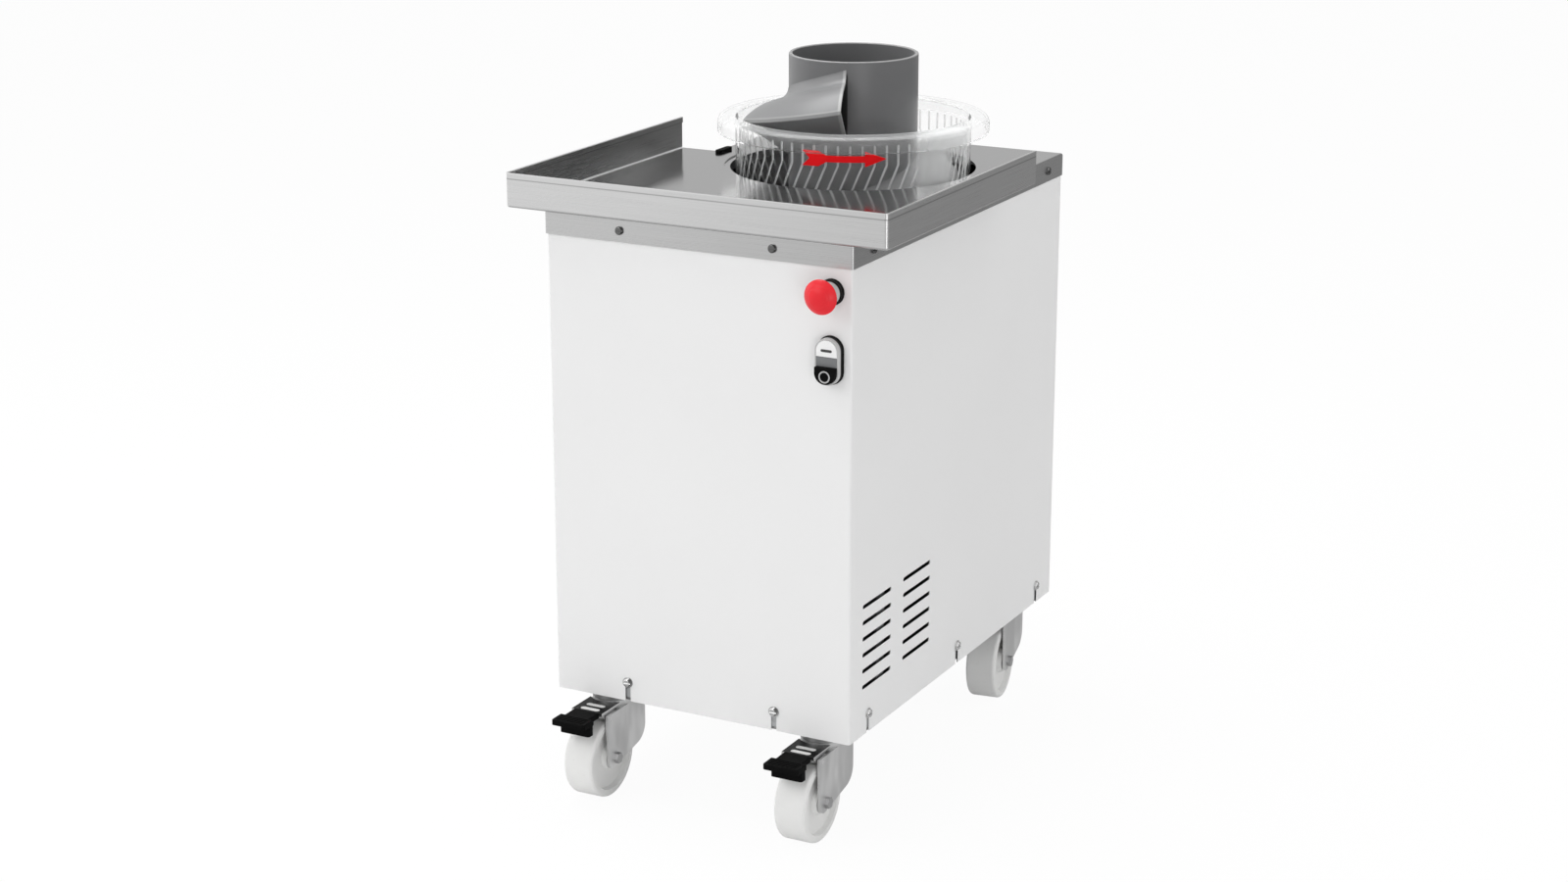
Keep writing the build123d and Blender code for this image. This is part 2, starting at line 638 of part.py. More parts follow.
# Clear bowl: floor, wall, rolled rim, and ribs that lean over below their knee
BOWL_IN_R = BOWL_R - BOWL_T
RIB_LOW_Z = BOWL_FLOOR_Z + RIB_FLOOR_GAP
RIB_KNEE_Z = LID_Z + RIB_KNEE
RIB_LEAN_H = RIB_KNEE_Z - RIB_LOW_Z
RIB_TWIST = degrees(RIB_LEAN_H * tan(radians(RIB_SLANT)) / BOWL_IN_R)
rib_depth = RIB_H + BOWL_T / 2
rib_mid_r = BOWL_IN_R - RIB_H + rib_depth / 2
with BuildSketch() as rib_foot:
    with Locations((rib_mid_r, 0)):
        Rectangle(rib_depth, RIB_W)
leaning_rib = Solid.extrude_linear_with_rotation(rib_foot.face(), (0, 0, 0), (0, 0, RIB_LEAN_H), RIB_TWIST)
with BuildPart() as bowl:
    with BuildSketch(radial_plane(0)) as bowl_section:
        lip_in_r = RIM_R - BOWL_T
        under_rim = RIM_Z - BOWL_T
        corner_low = (BOWL_R, HUB_TOP_Z)
        corner_floor = (BOWL_IN_R, BOWL_FLOOR_Z)
        corner_rim = (RIM_R, RIM_Z)
        corner_under = (lip_in_r, under_rim)
        corner_mouth = (BOWL_IN_R, RIM_Z)
        with BuildLine():
            Polyline(
                (SPIGOT_R + HOLE_PLAY, HUB_TOP_Z),
                corner_low,
                (BOWL_R, under_rim),
                corner_under,
                (lip_in_r, RIM_Z - RIM_LIP_H),
                (RIM_R, RIM_Z - RIM_LIP_H),
                corner_rim,
                corner_mouth,
                corner_floor,
                (SPIGOT_R + HOLE_PLAY, BOWL_FLOOR_Z),
                close=True,
            )
        make_face()
        for corner, radius in (
            (corner_low, BOWL_CORNER_R),
            (corner_floor, BOWL_CORNER_R - BOWL_T),
            (corner_rim, RIM_ROUND),
            (corner_under, RIM_ROUND - BOWL_T),
            (corner_mouth, BOWL_T - RIB_H / 2),
        ):
            fillet(bowl_section.vertices().sort_by_distance((*corner, 0))[0], radius)
    revolve(axis=BOWL_AXIS)
    with Locations((0, AXIS_Y, BOWL_FLOOR_Z)):
        with PolarLocations(HUB_SCREW_PCD / 2, HUB_SCREW_COUNT):
            Hole(SCREW_SHANK_R + HOLE_PLAY, BOWL_FLOOR_T)
    with Locations((0, AXIS_Y, RIB_LOW_Z)):
        with PolarLocations(0, RIB_COUNT):
            add(leaning_rib)
    with BuildSketch(Plane.XY.offset(RIB_KNEE_Z)):
        with Locations((0, AXIS_Y)):
            with PolarLocations(rib_mid_r, RIB_COUNT, start_angle=RIB_TWIST):
                Rectangle(rib_depth, RIB_W)
    extrude(amount=LID_Z + RIB_TOP - RIB_KNEE_Z)
save(bowl, "bowl")

# Grey feed tube, open at the top, with an outlet window at its foot
with BuildPart() as feed_tube:
    with BuildSketch(Plane.XY.offset(TUBE_LOW_Z)):
        with Locations((0, AXIS_Y)):
            Circle(TUBE_R)
            Circle(TUBE_R - TUBE_T, mode=Mode.SUBTRACT)
    extrude(amount=LID_Z + TUBE_TOP - TUBE_LOW_Z)
    fillet(feed_tube.faces().sort_by(Axis.Z)[-1].edges(), TUBE_T / 3)
    window_reach = 2 * TUBE_R
    window_corners = [
        (window_reach * cos(radians(angle)), AXIS_Y + window_reach * sin(radians(angle)))
        for angle in (WINDOW_FROM, WINDOW_TO)
    ]
    with BuildSketch(Plane.XY.offset(TUBE_LOW_Z)):
        with BuildLine():
            Polyline((0, AXIS_Y), *window_corners, close=True)
        make_face()
    extrude(amount=WINDOW_H, mode=Mode.SUBTRACT)
save(feed_tube, "feed_tube")

# Hollow spiral flight round the tube, cut off level above the bowl's floor
FLIGHT_CLIMB = FLIGHT_PITCH * FLIGHT_TURN / 360
FLIGHT_START_Z = LID_Z + FLIGHT_EDGE_TOP - FLIGHT_CLIMB
flight_inner_r = TUBE_R - 2 * FLIGHT_T
with BuildPart() as flight_blank:
    with BuildLine() as flight_path:
        Helix(FLIGHT_PITCH, FLIGHT_CLIMB, FLIGHT_R)
    with BuildSketch(Plane.XZ) as flight_section:
        with BuildLine():
            Polyline(
                (FLIGHT_R, 0),
                (FLIGHT_R, -FLIGHT_T),
                (TUBE_R, -FLIGHT_DROP),
                (flight_inner_r, -FLIGHT_DROP),
                (flight_inner_r, FLIGHT_RISE),
                (TUBE_R + FLIGHT_LEDGE, FLIGHT_RISE),
            )
            hollow = JernArc(
                (TUBE_R + FLIGHT_LEDGE, FLIGHT_RISE),
                (sin(radians(FLIGHT_LEAN)), -cos(radians(FLIGHT_LEAN))),
                FLIGHT_FILLET,
                FLIGHT_BEND,
            )
            TangentArc(hollow @ 1, (FLIGHT_R, 0), tangent=hollow % 1)
        make_face()
        offset(amount=-FLIGHT_T, mode=Mode.SUBTRACT)
        with Locations((TUBE_R / 2, 0)):
            Rectangle(TUBE_R + 2 * FIT_PLAY, 4 * FLIGHT_RISE, mode=Mode.SUBTRACT)
    sweep(sections=flight_section.sketch, path=flight_path.line, is_frenet=True)
flight_place = Location((0, AXIS_Y, FLIGHT_START_Z), (0, 0, FLIGHT_END_ANGLE - FLIGHT_TURN))
with BuildPart() as auger_flight:
    with Locations(flight_place):
        add(flight_blank.part)
    split(bisect_by=Plane.XY.offset(TUBE_LOW_Z), keep=Keep.TOP)
save(auger_flight, "auger_flight")

# Sloping chute in the tube's foot, with the boss that sits on the fixed post
CHUTE_LOW_ANGLE = (WINDOW_FROM + WINDOW_TO) / 2
chute_r = TUBE_R - TUBE_T - FIT_PLAY
chute_fall = chute_r * tan(radians(CHUTE_SLOPE))
CHUTE_MID_Z = TUBE_LOW_Z + CHUTE_T / cos(radians(CHUTE_SLOPE)) + chute_fall
chute_lean = sin(radians(CHUTE_SLOPE))
chute_normal = (
    chute_lean * cos(radians(CHUTE_LOW_ANGLE)),
    chute_lean * sin(radians(CHUTE_LOW_ANGLE)),
    cos(radians(CHUTE_SLOPE)),
)
chute_plane = Plane(origin=(0, AXIS_Y, CHUTE_MID_Z), z_dir=chute_normal)
with BuildPart() as auger_chute:
    with BuildSketch(Plane.XY.offset(TUBE_LOW_Z)):
        with Locations((0, AXIS_Y)):
            Circle(chute_r)
    extrude(amount=CHUTE_MID_Z + chute_fall - TUBE_LOW_Z)
    split(bisect_by=chute_plane.offset(-CHUTE_T), keep=Keep.TOP)
    with BuildSketch(Plane.XY.offset(BOSS_LOW_Z)):
        with Locations((0, AXIS_Y)):
            Circle(BOSS_R)
    extrude(amount=CHUTE_MID_Z - BOSS_LOW_Z)
    split(bisect_by=chute_plane, keep=Keep.BOTTOM)
    with BuildSketch(Plane.XY.offset(BOSS_LOW_Z)):
        with Locations((0, AXIS_Y)):
            Circle(POST_R + RUN_PLAY)
    extrude(amount=POST_GRIP, mode=Mode.SUBTRACT)
    with BuildSketch(side_plane(1, AXIS_Y, BOSS_LOW_Z, 0)):
        with Locations((0, PIN_UP / 2)):
            Rectangle(2 * (PIN_R + RUN_GAP), PIN_UP)
        with Locations((0, PIN_UP)):
            Circle(PIN_R + RUN_GAP)
    extrude(amount=PIN_L, both=True, mode=Mode.SUBTRACT)
save(auger_chute, "auger_chute")

# Fixed post up through the hollow shaft, and its cross pin
with BuildPart() as auger_post:
    with BuildSketch(radial_plane(0)):
        with BuildLine():
            Polyline(
                (0, MOTOR_SEAT_Z - NUT_H - BOLT_R),
                (POST_R, MOTOR_SEAT_Z - NUT_H - BOLT_R),
                (POST_R, MOTOR_PLATE_Z),
                (NUT_R, MOTOR_PLATE_Z),
                (NUT_R, MOTOR_PLATE_Z + NUT_H),
                (POST_R, MOTOR_PLATE_Z + NUT_H),
                (POST_R, SHOULDER_Z),
                (SHOULDER_R, SHOULDER_Z),
                (SHOULDER_R, BOSS_LOW_Z),
                (POST_R, BOSS_LOW_Z),
                (POST_R, BOSS_LOW_Z + POST_GRIP - RUN_GAP),
                (0, BOSS_LOW_Z + POST_GRIP - RUN_GAP),
                close=True,
            )
        make_face()
    revolve(axis=BOWL_AXIS)
    with Locations(side_plane(1, AXIS_Y, BOSS_LOW_Z + PIN_UP, PIN_L / 2)):
        Hole(PIN_R + FIT_PLAY, PIN_L)
save(auger_post, "auger_post")

with BuildPart() as auger_pin:
    with BuildSketch(side_plane(1, AXIS_Y, BOSS_LOW_Z + PIN_UP, 0)):
        Circle(PIN_R)
    extrude(amount=PIN_L / 2, both=True)
save(auger_pin, "auger_pin")

# Hub under the bowl, its screws with the nut at the shaft's foot, and the hollow shaft
with BuildPart() as bowl_hub:
    with BuildSketch(radial_plane(0)):
        hub_low = HUB_TOP_Z - HUB_T
        spigot_top = BOWL_FLOOR_Z + SPIGOT_H
        with BuildLine():
            Polyline(
                (SHAFT_R + FIT_PLAY, hub_low - HUB_BOSS_H),
                (HUB_BOSS_R, hub_low - HUB_BOSS_H),
                (HUB_BOSS_R, hub_low),
                (HUB_R, hub_low),
                (HUB_R, HUB_TOP_Z),
                (SPIGOT_R, HUB_TOP_Z),
                (SPIGOT_R, spigot_top),
                (SHAFT_R + FIT_PLAY, spigot_top),
                close=True,
            )
        make_face()
    revolve(axis=BOWL_AXIS)
    with Locations((0, AXIS_Y, HUB_TOP_Z)):
        with PolarLocations(HUB_SCREW_PCD / 2, HUB_SCREW_COUNT):
            Hole(SCREW_SHANK_R + FIT_PLAY, HUB_T)
save(bowl_hub, "bowl_hub")

with BuildPart() as bowl_fasteners:
    with Locations((0, AXIS_Y, BOWL_FLOOR_Z)):
        with PolarLocations(HUB_SCREW_PCD / 2, HUB_SCREW_COUNT):
            add(slotted_screw(HUB_SCREW_L, False))
    with BuildSketch(Plane.XY.offset(SHAFT_LOW_Z)):
        with Locations((0, AXIS_Y)):
            RegularPolygon(NUT_R, 6)
            Circle(SHAFT_R + FIT_PLAY, mode=Mode.SUBTRACT)
    extrude(amount=NUT_H)
save(bowl_fasteners, "bowl_fasteners")

with BuildPart() as drive_shaft:
    with BuildSketch(Plane.XY.offset(SHAFT_LOW_Z)):
        with Locations((0, AXIS_Y)):
            Circle(SHAFT_R)
            Circle(SHAFT_BORE_R, mode=Mode.SUBTRACT)
    extrude(amount=BOWL_FLOOR_Z + SPIGOT_H - SHAFT_LOW_Z)
save(drive_shaft, "drive_shaft")

# Two ball bearings: outer rings in the housing, inner rings on the shaft
UPPER_BEARING_Z = HOUSING_TOP_Z - BEARING_LAND - BEARING_W
LOWER_BEARING_Z = HOUSING_LOW_Z + BEARING_LAND
ring_split_r = (BEARING_R + SHAFT_R) / 2
with BuildPart() as bearing_outer_rings:
    for low_z in (UPPER_BEARING_Z, LOWER_BEARING_Z):
        with BuildSketch(Plane.XY.offset(low_z)):
            with Locations((0, AXIS_Y)):
                Circle(BEARING_R)
                Circle(ring_split_r + RUN_GAP / 2, mode=Mode.SUBTRACT)
        extrude(amount=BEARING_W)
save(bearing_outer_rings, "bearing_outer_rings")

with BuildPart() as bearing_inner_rings:
    for low_z in (UPPER_BEARING_Z, LOWER_BEARING_Z):
        with BuildSketch(Plane.XY.offset(low_z)):
            with Locations((0, AXIS_Y)):
                Circle(ring_split_r - RUN_GAP / 2)
                Circle(SHAFT_R + FIT_PLAY, mode=Mode.SUBTRACT)
        extrude(amount=BEARING_W)
save(bearing_inner_rings, "bearing_inner_rings")

with BuildPart() as bearing_housing:
    with BuildSketch(radial_plane(0)):
        bore_r = BEARING_R + FIT_PLAY
        shoulder_r = BEARING_R - BEARING_LAND
        with BuildLine():
            Polyline(
                (bore_r, HOUSING_LOW_Z),
                (HOUSING_R, HOUSING_LOW_Z),
                (HOUSING_R, BEARING_PLATE_Z),
                (HOUSING_FLANGE_R, BEARING_PLATE_Z),
                (HOUSING_FLANGE_R, BEARING_PLATE_Z + HOUSING_FLANGE_T),
                (HOUSING_R, BEARING_PLATE_Z + HOUSING_FLANGE_T),
                (HOUSING_R, HOUSING_TOP_Z),
                (bore_r, HOUSING_TOP_Z),
                (bore_r, UPPER_BEARING_Z),
                (shoulder_r, UPPER_BEARING_Z),
                (shoulder_r, LOWER_BEARING_Z + BEARING_W),
                (bore_r, LOWER_BEARING_Z + BEARING_W),
                close=True,
            )
        make_face()
    revolve(axis=BOWL_AXIS)
    with Locations((0, AXIS_Y, BEARING_PLATE_Z + HOUSING_FLANGE_T)):
        with PolarLocations(HOUSING_BOLT_PCD / 2, HOUSING_BOLT_COUNT, start_angle=FLANGE_BOLT_START):
            Hole(BOLT_R + HOLE_PLAY, HOUSING_FLANGE_T)
save(bearing_housing, "bearing_housing")

# Plates that carry the bearing housing and the motor
with BuildPart() as bearing_plate:
    with BuildSketch(Plane.XY.offset(BEARING_SEAT_Z)):
        with Locations((0, AXIS_Y)):
            Rectangle(2 * PLATE_X, BEARING_PLATE_D)
            Circle(HOUSING_R + HOLE_PLAY, mode=Mode.SUBTRACT)
        with Locations((0, AXIS_Y)):
            with PolarLocations(HOUSING_BOLT_PCD / 2, HOUSING_BOLT_COUNT, start_angle=FLANGE_BOLT_START):
                Circle(BOLT_R + FIT_PLAY, mode=Mode.SUBTRACT)
        with Locations(*BEARING_BOLTS):
            Circle(BOLT_R + HOLE_PLAY, mode=Mode.SUBTRACT)
    extrude(amount=PLATE_T)
save(bearing_plate, "bearing_plate")

with BuildPart() as motor_plate:
    with BuildSketch(Plane.XY.offset(MOTOR_SEAT_Z)):
        with Locations((0, MOTOR_PLATE_MID_Y)):
            Rectangle(2 * PLATE_X, MOTOR_PLATE_D)
        with Locations((0, MOTOR_Y)):
            Circle(PINION_R + PULLEY_LIP + BELT_T, mode=Mode.SUBTRACT)
            with PolarLocations(MOTOR_BOLT_PCD / 2, HOUSING_BOLT_COUNT, start_angle=FLANGE_BOLT_START):
                Circle(BOLT_R + HOLE_PLAY, mode=Mode.SUBTRACT)
        with Locations((0, AXIS_Y)):
            Circle(POST_R + HOLE_PLAY, mode=Mode.SUBTRACT)
        with Locations(*MOTOR_PLATE_BOLTS):
            Circle(BOLT_R + HOLE_PLAY, mode=Mode.SUBTRACT)
    extrude(amount=PLATE_T)
save(motor_plate, "motor_plate")

# Large pulley, small pulley and the belt round both
def pulley_section(bore_r, hub_r, rim_in_r, rim_r):
    mid_z = (PULLEY_TOP_Z + PULLEY_LOW_Z) / 2
    lip_mid = PULLEY_W / 2 - PULLEY_LIP_T / 2
    with BuildSketch() as section:
        with Locations(((bore_r + hub_r) / 2, mid_z)):
            Rectangle(hub_r - bore_r, PULLEY_W)
        with Locations(((hub_r + rim_in_r) / 2, mid_z)):
            Rectangle(rim_in_r - hub_r + FIT_PLAY, PULLEY_WEB_T)
        with Locations(((rim_in_r + rim_r) / 2, mid_z)):
            Rectangle(rim_r - rim_in_r, PULLEY_W)
        lip_r = rim_r + PULLEY_LIP
        with Locations(*[((rim_in_r + lip_r) / 2, mid_z + s * lip_mid) for s in (-1, 1)]):
            Rectangle(lip_r - rim_in_r, PULLEY_LIP_T)
    return section.sketch


with BuildPart() as driven_pulley:
    with BuildSketch(radial_plane(0)):
        add(pulley_section(SHAFT_R + FIT_PLAY, PULLEY_HUB_R, PULLEY_R - PULLEY_WEB_T, PULLEY_R))
    revolve(axis=BOWL_AXIS)
    with Locations((0, AXIS_Y, PULLEY_TOP_Z)):
        with PolarLocations((PULLEY_HUB_R + PULLEY_R - PULLEY_WEB_T) / 2, PULLEY_HOLES):
            Hole(PULLEY_HOLE_R, PULLEY_W)
save(driven_pulley, "driven_pulley")

with BuildPart() as motor_pulley:
    with BuildSketch(radial_plane(0, MOTOR_Y)):
        add(pulley_section(MOTOR_SHAFT_R + FIT_PLAY, PINION_R - BELT_T, PINION_R - BELT_T, PINION_R))
    revolve(axis=MOTOR_AXIS)
save(motor_pulley, "motor_pulley")

with BuildPart() as drive_belt:
    belt_w = PULLEY_W - 2 * PULLEY_LIP_T - 2 * BELT_SIDE_GAP
    with BuildSketch(Plane.XY.offset(PULLEY_LOW_Z + PULLEY_LIP_T + BELT_SIDE_GAP)):
        with Locations((0, AXIS_Y)):
            Circle(PULLEY_R + RUN_GAP + BELT_T)
        with Locations((0, MOTOR_Y)):
            Circle(PINION_R + RUN_GAP + BELT_T)
        make_hull()
        offset(amount=-BELT_T, mode=Mode.SUBTRACT)
    extrude(amount=belt_w)
save(drive_belt, "drive_belt")

# Motor: finned housing with flange and terminal box, shaft, fan and its cover
MOTOR_TOP_Z = MOTOR_SEAT_Z - MOTOR_FLANGE_T
MOTOR_LOW_Z = MOTOR_TOP_Z - MOTOR_L
FAN_LOW_Z = MOTOR_LOW_Z - FAN_COVER_L
motor_bore_r = MOTOR_SHAFT_R + RUN_PLAY
with BuildPart() as motor_housing:
    with BuildSketch(Plane.XY.offset(MOTOR_LOW_Z)):
        with Locations((0, MOTOR_Y)):
            Circle(MOTOR_R)
            with PolarLocations(MOTOR_R + MOTOR_FIN / 2, MOTOR_FINS):
                Rectangle(2 * MOTOR_FIN, MOTOR_FIN / 2)
    extrude(amount=MOTOR_L)
    with BuildSketch(side_plane(-1, MOTOR_Y, (MOTOR_TOP_Z + MOTOR_LOW_Z) / 2, MOTOR_R - MOTOR_FIN)):
        RectangleRounded(TERMINAL_BOX_W, TERMINAL_BOX_H, CONTROL_BOX_EDGE)
    extrude(amount=TERMINAL_BOX_OUT)
    with BuildSketch(Plane.XY.offset(MOTOR_TOP_Z)):
        with Locations((0, MOTOR_Y)):
            Circle(MOTOR_FLANGE_R)
    extrude(amount=MOTOR_FLANGE_T)
    with BuildSketch(Plane.XY.offset(MOTOR_LOW_Z)):
        with Locations((0, MOTOR_Y)):
            Circle(motor_bore_r)
    extrude(amount=MOTOR_L + MOTOR_FLANGE_T, mode=Mode.SUBTRACT)
    with Locations((0, MOTOR_Y, MOTOR_SEAT_Z)):
        with PolarLocations(MOTOR_BOLT_PCD / 2, HOUSING_BOLT_COUNT, start_angle=FLANGE_BOLT_START):
            Hole(BOLT_R + FIT_PLAY, MOTOR_FLANGE_T)
save(motor_housing, "motor_housing")

with BuildPart() as motor_shaft:
    with BuildSketch(Plane.XY.offset(FAN_LOW_Z + 2 * FAN_COVER_T)):
        with Locations((0, MOTOR_Y)):
            Circle(MOTOR_SHAFT_R)
    extrude(amount=PULLEY_TOP_Z - FAN_LOW_Z)
save(motor_shaft, "motor_shaft")

with BuildPart() as motor_fan:
    fan_low = FAN_LOW_Z + 3 * FAN_COVER_T
    fan_h = FAN_COVER_L - 6 * FAN_COVER_T
    fan_hub_r = MOTOR_SHAFT_R + MOTOR_FIN
    with BuildSketch(Plane.XY.offset(fan_low)):
        with Locations((0, MOTOR_Y)):
            Circle(fan_hub_r)
            with PolarLocations((fan_hub_r + FAN_R) / 2, FAN_BLADES):
                Rectangle(FAN_R - fan_hub_r + FAN_COVER_T, 2 * FAN_COVER_T)
            Circle(MOTOR_SHAFT_R + FIT_PLAY, mode=Mode.SUBTRACT)
    extrude(amount=fan_h)
save(motor_fan, "motor_fan")

with BuildPart() as motor_fan_cover:
    with BuildSketch(Plane.XY.offset(FAN_LOW_Z)):
        with Locations((0, MOTOR_Y)):
            Circle(MOTOR_R)
    extrude(amount=FAN_COVER_L)
    offset(amount=-FAN_COVER_T, openings=motor_fan_cover.faces().sort_by(Axis.Z)[-1])
    with BuildSketch(Plane.XY.offset(FAN_LOW_Z)):
        with Locations((0, MOTOR_Y)):
            for ring_r, count in ((MOTOR_R / 3, FAN_BLADES), (MOTOR_R * 2 / 3, 2 * FAN_BLADES)):
                with PolarLocations(ring_r, count):
                    Circle(MOTOR_FIN)
    extrude(amount=FAN_COVER_T, mode=Mode.SUBTRACT)
save(motor_fan_cover, "motor_fan_cover")

# Control box on the pan's floor
with BuildPart() as control_box:
    box_w, box_d, box_h = CONTROL_BOX
    box_x = PAN_X - PAN_T - SHEET_GAP - box_w / 2
    box_y = FRONT_Y + CONTROL_BOX_FROM_FRONT + box_d / 2
    with Locations((-box_x, box_y, PAN_FLOOR_Z + box_h / 2)):
        Box(box_w, box_d, box_h)
    fillet(control_box.edges().filter_by(Axis.X), CONTROL_BOX_EDGE)
save(control_box, "control_box")

# Emergency stop on the front, turning and pressing along its own axis
ESTOP_PLANE = front_plane(ESTOP_X, LID_Z - ESTOP_DROP)
DOUBLE_PLANE = front_plane(DOUBLE_X, LID_Z - DOUBLE_DROP)
with BuildPart() as switch_gaskets:
    with BuildSketch(ESTOP_PLANE):
        Circle(ESTOP_FLANGE_R + GASKET_RIM)
        Circle(SWITCH_BUSH_R + HOLE_PLAY, mode=Mode.SUBTRACT)
    extrude(amount=GASKET_T)
    with BuildSketch(DOUBLE_PLANE):
        SlotOverall(BEZEL_L + 2 * GASKET_RIM, BEZEL_W + 2 * GASKET_RIM, rotation=90)
        Circle(SWITCH_BUSH_R + HOLE_PLAY, mode=Mode.SUBTRACT)
    extrude(amount=GASKET_T)
save(switch_gaskets, "switch_gaskets")

with BuildPart() as estop_collar:
    with BuildSketch(ESTOP_PLANE.offset(GASKET_T)):
        Circle(ESTOP_FLANGE_R)
    extrude(amount=ESTOP_FLANGE_T)
    with BuildSketch(ESTOP_PLANE.offset(GASKET_T)):
        Circle(ESTOP_COLLAR_R)
    extrude(amount=ESTOP_COLLAR_OUT - GASKET_T)
    fillet(estop_collar.faces().sort_by(Axis.Y)[0].edges(), GASKET_T)
    with BuildSketch(ESTOP_PLANE.offset(GASKET_T)):
        Circle(SWITCH_BUSH_R)
    extrude(amount=-GASKET_T - SWITCH_BUSH_IN)
    with Locations(ESTOP_PLANE.offset(ESTOP_COLLAR_OUT)):
        Hole(ESTOP_STEM_R + RUN_PLAY, ESTOP_COLLAR_OUT + SWITCH_BUSH_IN)
save(estop_collar, "estop_collar")

ESTOP_HEAD_LOW = ESTOP_RIM_OUT - ESTOP_SKIRT
with BuildPart() as estop_plunger:
    with BuildSketch(ESTOP_PLANE.offset(ESTOP_HEAD_LOW)):
        Circle(ESTOP_STEM_R)
    extrude(amount=-ESTOP_HEAD_LOW - SWITCH_BUSH_IN + RUN_GAP)
save(estop_plunger, "estop_plunger")

with BuildPart() as estop_head:
    with BuildSketch(Plane(origin=ESTOP_PLANE.origin, x_dir=(1, 0, 0), z_dir=(0, 0, 1))):
        dome_h = ESTOP_REACH - ESTOP_RIM_OUT
        dome_r = (ESTOP_R**2 + dome_h**2) / (2 * dome_h)
        with BuildLine():
            Polyline(
                (0, -ESTOP_REACH),
                (0, -ESTOP_HEAD_LOW),
                (ESTOP_R - ESTOP_SKIRT / 2, -ESTOP_HEAD_LOW),
                (ESTOP_R, -ESTOP_RIM_OUT + ESTOP_SKIRT / 4),
                (ESTOP_R, -ESTOP_RIM_OUT),
            )
            RadiusArc((ESTOP_R, -ESTOP_RIM_OUT), (0, -ESTOP_REACH), dome_r)
        make_face()
    revolve(axis=Axis(ESTOP_PLANE.origin, (0, 1, 0)))
save(estop_head, "estop_head")

# Double push-button: bezel with a pocket, lens across its middle, a button above and one below
POCKET_L = BEZEL_L - 2 * BEZEL_WALL
POCKET_W = BEZEL_W - 2 * BEZEL_WALL
BEZEL_OUT = GASKET_T + BEZEL_H
POCKET_OUT = GASKET_T + BEZEL_FLOOR
with BuildPart() as button_bezel:
    with BuildSketch(DOUBLE_PLANE.offset(GASKET_T)):
        SlotOverall(BEZEL_L, BEZEL_W, rotation=90)
    extrude(amount=BEZEL_H)
    fillet(button_bezel.faces().sort_by(Axis.Y)[0].edges(), BEZEL_WALL / 2)
    with BuildSketch(DOUBLE_PLANE.offset(POCKET_OUT)):
        SlotOverall(POCKET_L, POCKET_W, rotation=90)
    extrude(amount=BEZEL_H, mode=Mode.SUBTRACT)
    with BuildSketch(DOUBLE_PLANE.offset(GASKET_T)):
        Circle(SWITCH_BUSH_R)
    extrude(amount=-GASKET_T - SWITCH_BUSH_IN)
save(button_bezel, "button_bezel")

with BuildPart() as button_lens:
    with BuildSketch(DOUBLE_PLANE.offset(POCKET_OUT)):
        Rectangle(POCKET_W - 2 * BUTTON_GAP, LENS_H)
    extrude(amount=BEZEL_OUT - POCKET_OUT)
save(button_lens, "button_lens")


def half_button(side, proud):
    inner = LENS_H / 2 + BUTTON_GAP
    low_out = POCKET_OUT + BUTTON_TRAVEL + RUN_GAP
    with BuildPart() as button:
        with BuildSketch(DOUBLE_PLANE.offset(low_out)):
            SlotOverall(POCKET_L - 2 * BUTTON_GAP, POCKET_W - 2 * BUTTON_GAP, rotation=90)
            with Locations((0, side * (inner - POCKET_L / 2))):
                Rectangle(POCKET_W, POCKET_L, mode=Mode.SUBTRACT)
        extrude(amount=BEZEL_OUT + proud - low_out)
        fillet(button.faces().sort_by(Axis.Y)[0].edges(), BUTTON_GAP * 2)
    return button


start_button = half_button(1, START_PROUD)
save(start_button, "start_button")
stop_button = half_button(-1, STOP_PROUD)
save(stop_button, "stop_button")

# Contact blocks behind the front sheet
with BuildPart() as contact_blocks:
    for plane in (ESTOP_PLANE, DOUBLE_PLANE):
        with BuildSketch(plane.offset(-SWITCH_BUSH_IN)):
            Rectangle(BLOCK_W, BLOCK_H)
        extrude(amount=-BLOCK_D)
    with Locations(ESTOP_PLANE.offset(-SWITCH_BUSH_IN)):
        Hole(ESTOP_STEM_R + HOLE_PLAY, ESTOP_TRAVEL + 2 * RUN_GAP)
save(contact_blocks, "contact_blocks")

# Castor levels, from the top plate down
PLATE_LOW_Z = PAN_LOW_Z - CASTOR_PLATE_T
RACE_LOW_Z = PLATE_LOW_Z - RACE_H
DISH_TOP_Z = RACE_LOW_Z - RUN_GAP
CROWN_TOP_Z = DISH_TOP_Z - DISH_H
CROWN_LOW_Z = CROWN_TOP_Z - FORK_T
LEG_X = WHEEL_W / 2 + WHEEL_SIDE_GAP
CASTOR_SPOTS = list(CASTOR_PLACES.values())
with BuildPart() as castor_plates:
    with BuildSketch(Plane.XY.offset(PLATE_LOW_Z)):
        with Locations(*CASTOR_SPOTS):
            RectangleRounded(CASTOR_PLATE_W, CASTOR_PLATE_D, CASTOR_PLATE_T)
            with GridLocations(CASTOR_BOLT_DX, CASTOR_BOLT_DY, 2, 2):
                Circle(BOLT_R + FIT_PLAY, mode=Mode.SUBTRACT)
    extrude(amount=CASTOR_PLATE_T)
    with BuildSketch(Plane.XY.offset(RACE_LOW_Z)):
        with Locations(*CASTOR_SPOTS):
            Circle(RACE_R)
    extrude(amount=RACE_H)
    king_low = CROWN_LOW_Z - RUN_GAP - KING_HEAD_H
    with BuildSketch(Plane.XY.offset(king_low)):
        with Locations(*CASTOR_SPOTS):
            Circle(KING_R)
    extrude(amount=RACE_LOW_Z - king_low)
    with BuildSketch(Plane.XY.offset(king_low)):
        with Locations(*CASTOR_SPOTS):
            Circle(KING_HEAD_R)
    extrude(amount=KING_HEAD_H)
save(castor_plates, "castor_plates")

